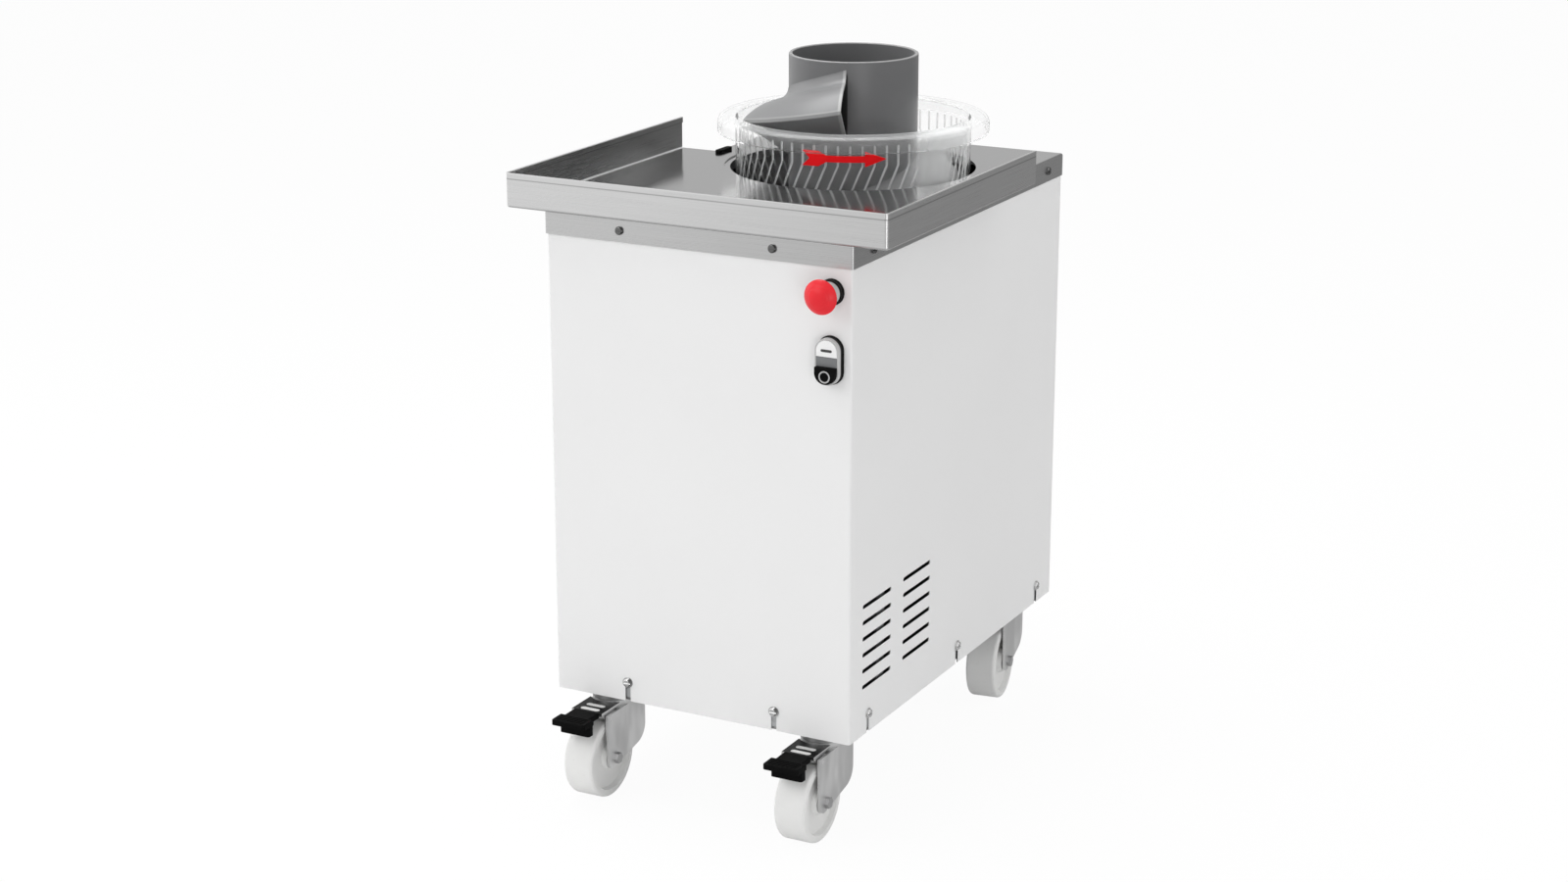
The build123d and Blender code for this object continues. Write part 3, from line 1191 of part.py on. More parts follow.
# Bolts of the drive plates, motor and castors, with the nuts of the fixed post and the switches
with BuildPart() as frame_bolts:
    with Locations(*[(x, y, BEARING_PLATE_Z) for x, y in BEARING_BOLTS]):
        add(hex_bolt(PLATE_T + TUBE_WALL + BOLT_HEAD_H))
    with Locations(*[(x, y, MOTOR_PLATE_Z) for x, y in MOTOR_PLATE_BOLTS]):
        add(hex_bolt(PLATE_T + TUBE_WALL + BOLT_HEAD_H))
    with Locations((0, AXIS_Y, BEARING_PLATE_Z + HOUSING_FLANGE_T)):
        with PolarLocations(HOUSING_BOLT_PCD / 2, HOUSING_BOLT_COUNT, start_angle=FLANGE_BOLT_START):
            add(hex_bolt(HOUSING_FLANGE_T + PLATE_T))
    with Locations((0, MOTOR_Y, MOTOR_PLATE_Z)):
        with PolarLocations(MOTOR_BOLT_PCD / 2, HOUSING_BOLT_COUNT, start_angle=FLANGE_BOLT_START):
            add(hex_bolt(PLATE_T + MOTOR_FLANGE_T))
    with BuildSketch(Plane.XY.offset(MOTOR_SEAT_Z)):
        with Locations((0, AXIS_Y)):
            RegularPolygon(NUT_R, 6)
            Circle(POST_R + FIT_PLAY, mode=Mode.SUBTRACT)
    extrude(amount=-NUT_H)
    with Locations(*[(x, y, PAN_FLOOR_Z) for x, y in CASTOR_SPOTS]):
        with GridLocations(CASTOR_BOLT_DX, CASTOR_BOLT_DY, 2, 2):
            add(hex_bolt(PAN_T + CASTOR_PLATE_T))
    for plane in (ESTOP_PLANE, DOUBLE_PLANE):
        with BuildSketch(plane.offset(-PANEL_T)):
            RegularPolygon(SWITCH_NUT_R, 6)
            Circle(SWITCH_BUSH_R + FIT_PLAY, mode=Mode.SUBTRACT)
        extrude(amount=-SWITCH_NUT_T)
save(frame_bolts, "frame_bolts")


# Castor pieces, each built round its own swivel axis
# Pressed fork: two legs, crown and swivel dish
def castor_fork(braked):
    with BuildPart() as fork:
        for leg_x in (-LEG_X - FORK_T, LEG_X):
            with BuildSketch(side_plane(1, 0, 0, leg_x)):
                with Locations(((LEG_BACK - LEG_FRONT) / 2, CROWN_TOP_Z - LEG_SIDE_H / 2)):
                    Rectangle(LEG_BACK + LEG_FRONT, LEG_SIDE_H)
                with Locations((-TRAIL - LEG_TOE, WHEEL_R)):
                    Circle(LEG_TOE_R)
                with Locations((LEG_BACK - LEG_HEEL_R, CROWN_TOP_Z - LEG_HEEL_DROP)):
                    Circle(LEG_HEEL_R)
                make_hull()
                with Locations((-TRAIL, WHEEL_R)):
                    Circle(AXLE_R + FIT_PLAY, mode=Mode.SUBTRACT)
                if braked:
                    with Locations((-LEVER_PIVOT_Y, LEVER_PIVOT_Z)):
                        Circle(LEVER_PIN_R + RUN_PLAY, mode=Mode.SUBTRACT)
            extrude(amount=FORK_T)
        with BuildSketch(Plane.XY.offset(CROWN_LOW_Z)):
            with Locations((0, (LEG_BACK - CROWN_FRONT) / 2)):
                Rectangle(2 * LEG_X, LEG_BACK + CROWN_FRONT)
        extrude(amount=FORK_T)
        with BuildSketch(Plane.XY.offset(CROWN_TOP_Z)):
            Circle(RACE_R)
        extrude(amount=DISH_H)
        with Locations((0, 0, DISH_TOP_Z)):
            Hole(KING_R + RUN_PLAY, DISH_H + FORK_T)
    return fork


# Nylon wheel with dished sides, turned about its axle
def castor_wheel():
    half = WHEEL_W / 2
    web = half - WHEEL_DISH
    rim_in = WHEEL_R - WHEEL_RIM
    with BuildPart() as wheel:
        with BuildSketch(front_plane(0, WHEEL_R, -TRAIL)):
            with BuildLine() as half_outline:
                Polyline(
                    (0, AXLE_R + RUN_PLAY),
                    (half, AXLE_R + RUN_PLAY),
                    (half, WHEEL_HUB_R),
                    (web, WHEEL_HUB_R + WHEEL_DISH / 3),
                    (web, rim_in - WHEEL_DISH / 3),
                    (half, rim_in),
                    (half, WHEEL_R - WHEEL_EDGE),
                )
                RadiusArc((half, WHEEL_R - WHEEL_EDGE), (half - WHEEL_EDGE, WHEEL_R), -WHEEL_EDGE)
                Line((half - WHEEL_EDGE, WHEEL_R), (0, WHEEL_R))
                mirror(half_outline.edges(), about=Plane.YZ)
            make_face()
        revolve(axis=Axis((0, -TRAIL, WHEEL_R), (1, 0, 0)))
    return wheel


# Axle bolt across the fork, with a head and a nut outside the legs
def castor_axle():
    reach = LEG_X + FORK_T
    with BuildPart() as axle:
        with BuildSketch(side_plane(1, -TRAIL, WHEEL_R, 0)):
            Circle(AXLE_R)
        extrude(amount=reach + AXLE_HEAD_H, both=True)
        for side in (-1, 1):
            with BuildSketch(side_plane(side, -TRAIL, WHEEL_R, reach)):
                RegularPolygon(AXLE_HEAD_R, 6)
            extrude(amount=AXLE_HEAD_H)
    return axle


# Brake lever: slotted plate over the wheel, turned-down sides and the pivot pin
def brake_lever():
    plate_d = PEDAL_BACK - LEVER_BACK
    with BuildPart() as lever:
        with BuildSketch(Plane.XY.offset(LEVER_TOP - LEVER_T)):
            with Locations((0, -LEVER_BACK - plate_d / 2)):
                Rectangle(LEVER_W, plate_d)
            Circle(RACE_R + LEVER_T, mode=Mode.SUBTRACT)
            with Locations((0, (LEVER_SLOT_PITCH - LEVER_PIVOT_Y - PEDAL_BACK) / 2)):
                with GridLocations(0, LEVER_SLOT_PITCH, 1, 2):
                    SlotOverall(LEVER_SLOT_L, LEVER_SLOT_W, mode=Mode.SUBTRACT)
        extrude(amount=LEVER_T)
        for ear_x in (-LEVER_W / 2, LEVER_W / 2 - LEVER_T):
            with BuildSketch(side_plane(1, -LEVER_PIVOT_Y, LEVER_PIVOT_Z, ear_x)):
                Circle(LEVER_EAR_R)
                with Locations((0, LEVER_TOP - LEVER_T / 2 - LEVER_PIVOT_Z)):
                    Rectangle(2 * (PEDAL_BACK - LEVER_PIVOT_Y), LEVER_T)
                make_hull()
            extrude(amount=LEVER_T)
        with BuildSketch(side_plane(1, -LEVER_PIVOT_Y, LEVER_PIVOT_Z, 0)):
            Circle(LEVER_PIN_R)
        extrude(amount=LEG_X + FORK_T, both=True)
    return lever


# Black pedal on the lever's front end, with a block under it behind the tip
def brake_pedal():
    pedal_top = LEVER_TOP + LEVER_T / 3
    tip = CASTOR_INSET + PEDAL_REACH
    reach = tip - PEDAL_BACK
    with BuildPart() as pedal:
        with BuildSketch(Plane.XY.offset(pedal_top - PEDAL_T)) as outline:
            with Locations((0, -PEDAL_BACK - reach / 2)):
                Rectangle(PEDAL_NECK_W, reach)
            with Locations((0, -tip + reach / 4)):
                Rectangle(PEDAL_W, reach / 2)
            fillet(outline.vertices().group_by(Axis.Y)[0], PEDAL_T / 2)
        extrude(amount=PEDAL_T)
        with BuildSketch(Plane.XY.offset(pedal_top - PEDAL_LIP)) as lip:
            with Locations((0, -tip + PEDAL_LIP_BACK + PEDAL_LIP_T / 2)):
                Rectangle(PEDAL_LIP_W, PEDAL_LIP_T)
            fillet(lip.vertices().group_by(Axis.Y)[0], PEDAL_T / 2)
        extrude(amount=PEDAL_LIP - PEDAL_T / 2)
        fillet(pedal.faces().sort_by(Axis.Z)[-1].edges(), PEDAL_T / 4)
    return pedal


# Castors in place, the rear right one swivelled a little
def save_castor_piece(piece, name, place):
    turn = REAR_RIGHT_TURN if place == "rear_right" else 0
    with BuildPart() as placed:
        with Locations(Location((*CASTOR_PLACES[place], 0), (0, 0, turn))):
            add(piece.part)
    save(placed, f"{name}_{place}")


for place in CASTOR_PLACES:
    has_brake = place.startswith("front")
    save_castor_piece(castor_fork(has_brake), "fork", place)
    save_castor_piece(castor_wheel(), "wheel", place)
    save_castor_piece(castor_axle(), "axle", place)
    if has_brake:
        save_castor_piece(brake_lever(), "brake_lever", place)
        save_castor_piece(brake_pedal(), "brake_pedal", place)
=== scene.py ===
import json
import math

import bmesh
import bpy
from mathutils import Matrix, Vector


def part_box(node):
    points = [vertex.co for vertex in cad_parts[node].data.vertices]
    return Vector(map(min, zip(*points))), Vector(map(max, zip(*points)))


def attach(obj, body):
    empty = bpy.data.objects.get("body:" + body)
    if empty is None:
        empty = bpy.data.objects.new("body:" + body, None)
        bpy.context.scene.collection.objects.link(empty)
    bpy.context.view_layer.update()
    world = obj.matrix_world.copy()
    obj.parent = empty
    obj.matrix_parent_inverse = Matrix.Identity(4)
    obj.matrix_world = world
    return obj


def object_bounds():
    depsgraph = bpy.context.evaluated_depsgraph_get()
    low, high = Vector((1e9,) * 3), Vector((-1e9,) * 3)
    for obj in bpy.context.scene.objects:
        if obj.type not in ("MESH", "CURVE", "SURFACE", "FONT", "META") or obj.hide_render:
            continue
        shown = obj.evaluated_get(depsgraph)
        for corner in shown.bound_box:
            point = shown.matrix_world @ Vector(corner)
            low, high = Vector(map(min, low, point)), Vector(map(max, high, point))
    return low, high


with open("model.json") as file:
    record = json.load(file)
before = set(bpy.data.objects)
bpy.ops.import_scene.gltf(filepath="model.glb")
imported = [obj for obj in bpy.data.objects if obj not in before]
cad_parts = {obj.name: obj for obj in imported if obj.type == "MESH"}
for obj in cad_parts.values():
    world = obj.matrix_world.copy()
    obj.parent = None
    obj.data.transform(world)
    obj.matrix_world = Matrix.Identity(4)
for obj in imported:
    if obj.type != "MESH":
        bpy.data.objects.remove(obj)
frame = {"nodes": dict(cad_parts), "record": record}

cad_low, cad_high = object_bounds()
nodes = frame["nodes"]
scene = bpy.context.scene
scene.view_settings.view_transform = "Standard"

# Sizes and places taken over from the solids, in metres
BOWL_AXIS_Y = 0.121
BOWL_R = 0.146
RIB_ROOT_R = 0.1417
RIB_FOOT_Z = 0.632
RIM_FOOT_Z = 0.7665
RIM_TOP_Z = 0.786
LID_Z = 0.720
TRAY_HALF_W = 0.246
TRAY_TOP_Z = 0.761
HEM_Z = 0.754
TUBE_R = 0.080
TUBE_TOP_Z = 0.862
FLIGHT_R = 0.137
ESTOP_X, ESTOP_Z = 0.1728, 0.664
ESTOP_SEAM_Y, BEZEL_SEAM_Y = -0.2842, -0.2832
BUTTONS_X = 0.1718
START_FACE_Y, STOP_FACE_Y = -0.2891, -0.2940
CASTOR_X = 0.143
GLAND_X, GLAND_Z = -0.120, 0.190

# Camera, where the photograph was taken from
AZIMUTH = math.radians(27.775)
ELEVATION = math.radians(16.704)
LENS_MM = 64.98
SENSOR_MM = 36
CAMERA_PLACE = (1.54314, -2.99315, 1.40478)

away = Vector(
    (
        math.sin(AZIMUTH) * math.cos(ELEVATION),
        -math.cos(AZIMUTH) * math.cos(ELEVATION),
        math.sin(ELEVATION),
    )
)
camera = bpy.data.objects.new("camera", bpy.data.cameras.new("camera"))
camera.data.lens = LENS_MM
camera.data.sensor_width = SENSOR_MM
camera.location = CAMERA_PLACE
camera.rotation_mode = "QUATERNION"
camera.rotation_quaternion = (-away).to_track_quat("-Z", "Y")
scene.collection.objects.link(camera)
scene.camera = camera


# Node trees, written as sums
class Wire:
    """A socket that can be reckoned with: each step of a sum adds a Math node."""

    def __init__(self, graph, socket):
        self.graph, self.socket = graph, socket

    def math(self, operation, *terms):
        return self.graph.node("ShaderNodeMath", {"operation": operation}, dict(enumerate(terms)))

    def __add__(self, other):
        return self.math("ADD", self, other)

    __radd__ = __add__

    def __sub__(self, other):
        return self.math("SUBTRACT", self, other)

    def __rsub__(self, other):
        return self.math("SUBTRACT", other, self)

    def __mul__(self, other):
        return self.math("MULTIPLY", self, other)

    __rmul__ = __mul__

    def __truediv__(self, other):
        return self.math("DIVIDE", self, other)

    def __rtruediv__(self, other):
        return self.math("DIVIDE", other, self)

    def __pow__(self, power):
        return self.math("POWER", self, power)

    def __abs__(self):
        return self.math("ABSOLUTE", self)

    def or_more(self, other):
        return self.math("MAXIMUM", self, other)


class Graph:
    """A node tree that grows one node at a time."""

    def __init__(self, tree):
        self.tree = tree

    def node(self, kind, settings=None, sockets=None, out=0):
        made = self.tree.nodes.new(kind)
        for key, value in (settings or {}).items():
            setattr(made, key, value)
        self.fill(made, sockets or {})
        return Wire(self, made.outputs[out]) if made.outputs else made

    def fill(self, made, sockets):
        for key, value in sockets.items():
            if isinstance(value, Wire):
                self.tree.links.new(value.socket, made.inputs[key])
            else:
                made.inputs[key].default_value = value

    def axes(self, vector):
        split = self.node("ShaderNodeSeparateXYZ", None, {"Vector": vector}).socket.node
        return [Wire(self, socket) for socket in split.outputs]

    def ramp(self, value, start, end):
        sockets = {"Value": value, "From Min": start, "From Max": end}
        return self.node("ShaderNodeMapRange", {"interpolation_type": "SMOOTHSTEP"}, sockets)

    def past(self, value, place, soft):
        """0 before the place and 1 past it, with a soft step of this half width."""
        return self.ramp(value, place - soft, place + soft)

    def before(self, value, place, soft):
        """1 before the place and 0 past it."""
        return self.ramp(value, place + soft, place - soft)

    def shade(self, factor, first, second):
        def colour(tone):
            return tone if isinstance(tone, Wire) else (*tone, 1)

        sockets = {0: factor, 6: colour(first), 7: colour(second)}
        return self.node("ShaderNodeMix", {"data_type": "RGBA"}, sockets, out=2)

    def light_paths(self):
        path = self.node("ShaderNodeLightPath").socket.node
        names = ("Is Camera Ray", "Is Glossy Ray", "Is Transmission Ray")
        return [Wire(self, path.outputs[name]) for name in names]


class Finish(Graph):
    """A material with one main shader; what is the same all over is set on the shader's sockets."""

    def __init__(self, name, **values):
        self.material = bpy.data.materials.new(name)
        self.material.use_nodes = True
        super().__init__(self.material.node_tree)
        self.shader = self.tree.nodes["Principled BSDF"]
        self.set(**values)

    def set(self, **values):
        self.fill(self.shader, {key.replace("_", " "): value for key, value in values.items()})

    def surface(self, mixed):
        self.fill(self.tree.nodes["Material Output"], {"Surface": mixed})

    def spot(self):
        return self.node("ShaderNodeTexCoord", out="Object")

    def facing(self):
        return self.axes(self.node("ShaderNodeTexCoord", out="Normal"))

    def grain(self, scale, stretch=(1, 1, 1), detail=2.0, rough=0.5):
        drawn = self.node("ShaderNodeMapping", None, {"Vector": self.spot(), "Scale": stretch})
        sockets = {"Vector": drawn, "Scale": scale, "Detail": detail, "Roughness": rough}
        return self.node("ShaderNodeTexNoise", None, sockets)

    def relief(self, height, depth, strength=1.0):
        sockets = {"Height": height, "Distance": depth, "Strength": strength}
        return self.node("ShaderNodeBump", None, sockets)

    def round_about(self, across, along, centre_across, centre_along):
        return ((across - centre_across) ** 2 + (along - centre_along) ** 2) ** 0.5


def grey(level):
    return (level, level, level)


# Finishes
def white_powder_coat():
    """White on the faces that look out of the cabinet; painted shade, near black, inside it and on the
    cut edges.
    """
    coat = Finish("white_powder_coat", Specular_IOR_Level=0.45)
    x, y = coat.axes(coat.spot())[:2]
    nx, ny = coat.facing()[:2]
    side = nx * x / abs(x)
    ends = ny * y / abs(y)
    outside = coat.ramp(side.or_more(ends), 0.2, 0.5)
    cloud = coat.grain(5.0)
    peel = coat.grain(620.0, detail=1.5)
    coat.set(
        # painted shade: faces that don't look out of the cabinet are near black
        Base_Color=coat.shade(outside, grey(0.015), coat.shade(cloud, grey(0.79), grey(0.82))),
        Roughness=0.36 + cloud * 0.06,
        Normal=coat.relief(peel, 0.00006, 0.5),
    )
    return coat.material


# Painted highlights and a painted shade line where the tray is folded and trimmed, placed from its sides,
# floor and top
BEND_IN, BEND_UP, BEND_SOFT = 0.0034, 0.0030, 0.0006
HEM_HALF, HEM_SOFT = 0.0008, 0.0004
TRIM_DOWN, TRIM_SOFT = 0.0007, 0.0003


def brushed_stainless(name, dark, light):
    """Brushed along the sheet; painted shade inside the walls, painted highlights in the bend and along
    the trimmed top, and a painted shade line at the hem.
    """
    steel = Finish(name, Metallic=1.0)
    x, _, z = steel.axes(steel.spot())
    nx, _, nz = steel.facing()
    flat = steel.ramp(abs(nz), 0.6, 0.9)
    wall_brush = steel.grain(1.0, (9, 9, 1700), detail=4.0, rough=0.65)
    flat_brush = steel.grain(1.0, (7, 1300, 7), detail=4.0, rough=0.65)
    brush = wall_brush + (flat_brush - wall_brush) * flat
    cloud = steel.grain(9.0)
    inward = steel.ramp(nz - nx * x / TRAY_HALF_W, 0.1, 0.4)
    wall = steel.shade(brush, grey(dark), grey(light))
    # painted shade: the inner faces of the walls are darker
    wall = steel.shade(inward, wall, steel.shade(brush, grey(0.30), grey(0.46)))
    floor = steel.shade(brush, grey(0.46), grey(0.54))
    # painted highlight along the bend above the lid
    bend_highlight = inward * steel.past(abs(x), TRAY_HALF_W - BEND_IN, BEND_SOFT)
    bend_highlight = bend_highlight * steel.before(z, LID_Z + BEND_UP, BEND_SOFT)
    # painted shade line at the hem; painted highlight along the trimmed top
    hem_shade = steel.before(abs(z - HEM_Z), HEM_HALF, HEM_SOFT)
    trim_highlight = steel.past(z, TRAY_TOP_Z - TRIM_DOWN, TRIM_SOFT)
    # bright: the painted highlights in the bend and along the top
    bright = bend_highlight.or_more(trim_highlight * 0.6)
    plain = steel.shade(flat * (1 - trim_highlight), wall, floor)
    hem_shaded = steel.shade(hem_shade * 0.45 * (1 - flat), plain, grey(0.10))
    steel.set(
        Base_Color=steel.shade(bright, hem_shaded, grey(0.92)),
        Roughness=0.20 + brush * 0.12 - flat * 0.16 + cloud * 0.05 + bright * 0.3,
        Normal=steel.relief(brush, 0.00002, 0.5 - flat * 0.4),
    )
    return steel.material


def zinc_plate():
    zinc = Finish("zinc_plate", Metallic=1.0)
    cloud = zinc.grain(70.0, detail=4.0)
    speck = zinc.grain(900.0, detail=2.0)
    zinc.set(
        Base_Color=zinc.shade(cloud, grey(0.36), (0.54, 0.54, 0.545)),
        Roughness=0.24 + cloud * 0.12 + speck * 0.05,
        Normal=zinc.relief(speck, 0.00003, 0.4),
    )
    return zinc.material


def fork_plate():
    """Pressed steel with a dull zinc skin, paler where the press drew it."""
    plate = Finish("fork_plate", Metallic=1.0)
    drawn = plate.grain(26.0, (1, 1, 0.4), detail=2.0)
    speck = plate.grain(900.0, detail=2.0)
    plate.set(
        Base_Color=plate.shade(plate.ramp(drawn, 0.35, 0.65), grey(0.62), grey(0.86)),
        Roughness=0.40 + drawn * 0.12 + speck * 0.05,
        Normal=plate.relief(speck, 0.00003, 0.4),
    )
    return plate.material


# Where the front's screws give way to the sides' ones, and the low ones to those in the lid's skirt
SIDE_SCREWS_Y = -0.269
SKIRT_SCREWS_Z = 0.625


def screw_plate():
    """Bright heads along the bottom edge, dark ones in the lid's skirt, each with painted shade on its
    far side.
    """
    plate = Finish("screw_plate", Metallic=1.0)
    _, y, z = plate.axes(plate.spot())
    nx, ny = plate.facing()[:2]
    on_side = plate.past(y, SIDE_SCREWS_Y, soft=0.003)
    # painted shade on each head's far side
    far_side_shade = plate.ramp(nx + (ny - nx) * on_side, 0.05, 0.5)
    in_skirt = plate.past(z, SKIRT_SCREWS_Z, soft=0.025)
    cloud = plate.grain(70.0, detail=4.0)
    bright = plate.shade(cloud, grey(0.62), grey(0.76))
    plate.set(
        Base_Color=plate.shade(in_skirt * 0.85, plate.shade(far_side_shade, bright, grey(0.10)), grey(0.05)),
        Roughness=0.12 + cloud * 0.10,
        Normal=plate.relief(plate.grain(900.0), 0.00003, 0.4),
    )
    return plate.material


def lever_plate():
    """Painted reflection: dark on top, bright on the turned-down sides."""
    plate = Finish("lever_plate", Metallic=1.0)
    # painted reflection: the top is dark, the turned-down sides bright
    painted_dark_top = plate.ramp(abs(plate.facing()[2]), 0.6, 0.9)
    cloud = plate.grain(70.0, detail=4.0)
    sides = plate.shade(cloud, grey(0.66), grey(0.82))
    plate.set(
        Base_Color=plate.shade(painted_dark_top, sides, plate.shade(cloud, grey(0.07), grey(0.14))),
        Roughness=0.14 + cloud * 0.12,
        Normal=plate.relief(plate.grain(900.0), 0.00003, 0.4),
    )
    return plate.material


def machined_steel():
    steel = Finish("machined_steel", Metallic=1.0)
    turned = steel.grain(1.0, (40, 40, 2200), detail=3.0)
    cloud = steel.grain(40.0, detail=3.0)
    steel.set(
        Base_Color=steel.shade(cloud, grey(0.36), (0.52, 0.52, 0.53)),
        Roughness=0.22 + turned * 0.14,
        Normal=steel.relief(turned, 0.00002, 0.5),
    )
    return steel.material


def galvanised():
    """Zinc flakes of many tones."""
    sheet = Finish("galvanised_sheet", Metallic=1.0)
    sockets = {"Vector": sheet.spot(), "Scale": 85.0}
    flake = sheet.node("ShaderNodeTexVoronoi", None, sockets, out="Color")
    tone = sheet.axes(flake)[0]
    sheet.set(
        Base_Color=sheet.shade(tone, (0.40, 0.41, 0.42), (0.60, 0.61, 0.62)),
        Roughness=0.36 + tone * 0.16,
        Normal=sheet.relief(sheet.grain(300.0), 0.00005, 0.3),
    )
    return sheet.material


def cast_alloy():
    cast = Finish("cast_alloy", Metallic=1.0)
    skin = cast.grain(650.0, detail=3.0)
    cloud = cast.grain(30.0)
    cast.set(
        Base_Color=cast.shade(cloud, (0.42, 0.42, 0.43), (0.56, 0.56, 0.57)),
        Roughness=0.42 + skin * 0.16,
        Normal=cast.relief(skin, 0.00015, 0.6),
    )
    return cast.material


# Painted reflection on the bowl's wall, in shares of the radius along X and metres from the axis along Y;
# how far down the painted highlight on the rim's brim reaches, and how soon a rib turns white from its
# root and foot
REFLECTION_START, REFLECTION_FULL = 0.78, 0.94
REFLECTION_BACK, REFLECTION_FRONT = -0.010, -0.040
BRIM_HIGHLIGHT_DOWN = 0.0035
RIB_EDGE, RIB_START = 0.0003, 0.003


def clear_moulding():
    """Clear, with milk-white ribs and a whiter rim; a painted highlight along the rim's top edge and a
    painted reflection as a milky patch on one side of the wall.
    """
    clear = Finish(
        "clear_moulding",
        Base_Color=(1.0, 1.0, 1.0, 1),
        IOR=1.02,
        Transmission_Weight=1.0,
        Coat_Weight=0.25,
        Coat_Roughness=0.05,
        Coat_IOR=1.49,
    )
    x, y, z = clear.axes(clear.spot())
    radius = clear.round_about(x, y, 0.0, BOWL_AXIS_Y)
    rib = clear.ramp(radius, RIB_ROOT_R, RIB_ROOT_R - RIB_EDGE)
    rib = rib * clear.ramp(z, RIB_FOOT_Z, RIB_FOOT_Z + RIB_START)
    rim = clear.past(z, RIM_FOOT_Z, soft=0.004)
    # painted highlight along the rim's top edge
    brim_highlight = clear.past(z, RIM_TOP_Z - BRIM_HIGHLIGHT_DOWN, soft=0.0015)
    glance = clear.node("ShaderNodeLayerWeight", None, {"Blend": 0.5}, out="Facing")
    sheen = clear.ramp(glance, 0.84, 0.99)
    # painted reflection: a milky patch on one side of the wall
    painted_reflection = clear.ramp(x / radius, REFLECTION_START, REFLECTION_FULL)
    painted_reflection = painted_reflection * clear.ramp(y - BOWL_AXIS_Y, REFLECTION_BACK, REFLECTION_FRONT)
    haze = clear.grain(26.0, detail=4.0)
    clear.set(Roughness=0.015 + haze * 0.03)
    milk = clear.node(
        "ShaderNodeBsdfPrincipled",
        None,
        {"Base Color": (0.90, 0.91, 0.91, 1), "Roughness": 0.30, "Specular IOR Level": 0.5},
    )
    wall = 0.005 + haze * 0.015 + painted_reflection * 0.55 + rim * 0.02 + sheen * 0.12 + brim_highlight * 0.20
    body = Wire(clear, clear.shader.outputs[0])
    sockets = {0: wall.or_more(rib * 0.45), 1: body, 2: milk}
    clear.surface(clear.node("ShaderNodeMixShader", None, sockets))
    return clear.material


# Direction square to the flight's open end, and the gap between that end and the tube, where painted
# shadow darkens the tube
FLIGHT_END_X, FLIGHT_END_Y = 0.940, 0.342
GAP_BACK, GAP_FRONT = -0.015, 0.0018
GAP_LOW_Z, GAP_TOP_Z = 0.772, 0.847
GAP_REAR_Y = 0.075

# The tube's outer skin and the painted highlight at its mouth, and the painted highlights along the
# flight's rim and end
TUBE_SKIN = 0.002
MOUTH_DOWN = 0.0010
RIM_HIGHLIGHT = 0.0013
END_HIGHLIGHT = -0.0036
HIGHLIGHT_LOW_Z, HIGHLIGHT_REAR_Y = 0.770, 0.055


def ahead_of_flight_end(x, y):
    return x * FLIGHT_END_X + (y - BOWL_AXIS_Y) * FLIGHT_END_Y


def grey_moulding():
    """Satin grey, with a painted highlight at the tube's mouth and painted shadow, near black, in the gap
    behind the flight's open end.
    """
    resin = Finish("grey_moulding", Specular_IOR_Level=0.5, Sheen_Weight=0.12, Sheen_Roughness=0.35)
    x, y, z = resin.axes(resin.spot())
    radius = resin.round_about(x, y, 0.0, BOWL_AXIS_Y)
    ahead = ahead_of_flight_end(x, y)
    # painted shadow on the tube in the gap behind the flight's open end
    gap_shadow = resin.before(ahead, GAP_FRONT, soft=0.0006) * resin.past(ahead, GAP_BACK, soft=0.001)
    gap_shadow = gap_shadow * resin.before(z, GAP_TOP_Z, soft=0.003) * resin.past(z, GAP_LOW_Z, soft=0.002)
    gap_shadow = gap_shadow * resin.before(y, GAP_REAR_Y, soft=0.005)
    gap_shadow = gap_shadow * resin.past(radius, TUBE_R - TUBE_SKIN, soft=0.001)
    # painted highlight at the tube's mouth
    mouth_highlight = resin.past(z, TUBE_TOP_Z - MOUTH_DOWN, soft=0.0004)
    cloud = resin.grain(14.0, detail=3.0)
    body = resin.shade(cloud, (0.128, 0.129, 0.132), (0.148, 0.149, 0.152))
    highlighted = resin.shade(mouth_highlight * 0.8, body, grey(0.32))
    resin.set(
        Base_Color=resin.shade(gap_shadow, highlighted, grey(0.004)),
        Roughness=0.33 + cloud * 0.08 + mouth_highlight * 0.1,
        Normal=resin.relief(resin.grain(800.0), 0.00004, 0.4),
    )
    return resin.material


def flight_moulding():
    """A paler grey than the tube's, painted lighter for the light the flight catches; painted shade, near
    black, in the hollow under the sheet; painted highlights along its rim and open end.
    """
    resin = Finish("flight_moulding", Specular_IOR_Level=0.5)
    x, y, z = resin.axes(resin.spot())
    nx, ny = resin.facing()[:2]
    # painted shade: near black on the inner faces of the hollow sheet
    hollow_shade = resin.ramp(nx * x + ny * (y - BOWL_AXIS_Y), -0.01, -0.05)
    radius = resin.round_about(x, y, 0.0, BOWL_AXIS_Y)
    # end: painted highlight along the flight's open end
    end = resin.past(ahead_of_flight_end(x, y), END_HIGHLIGHT, soft=0.0006)
    end = end * resin.past(z, HIGHLIGHT_LOW_Z, soft=0.005) * resin.before(y, HIGHLIGHT_REAR_Y, soft=0.005)
    edge_highlight = resin.past(radius, FLIGHT_R - RIM_HIGHLIGHT, soft=0.0007).or_more(end)
    cloud = resin.grain(14.0, detail=3.0)
    # painted light: the body is paler than the tube's grey
    body = resin.shade(cloud, (0.192, 0.193, 0.196), (0.216, 0.217, 0.220))
    highlighted = resin.shade(edge_highlight * 0.55 + end * 0.25, body, grey(0.38))
    resin.set(
        Base_Color=resin.shade(hollow_shade, highlighted, grey(0.004)),
        Roughness=0.33 + cloud * 0.08,
        Normal=resin.relief(resin.grain(800.0), 0.00004, 0.4),
    )
    return resin.material


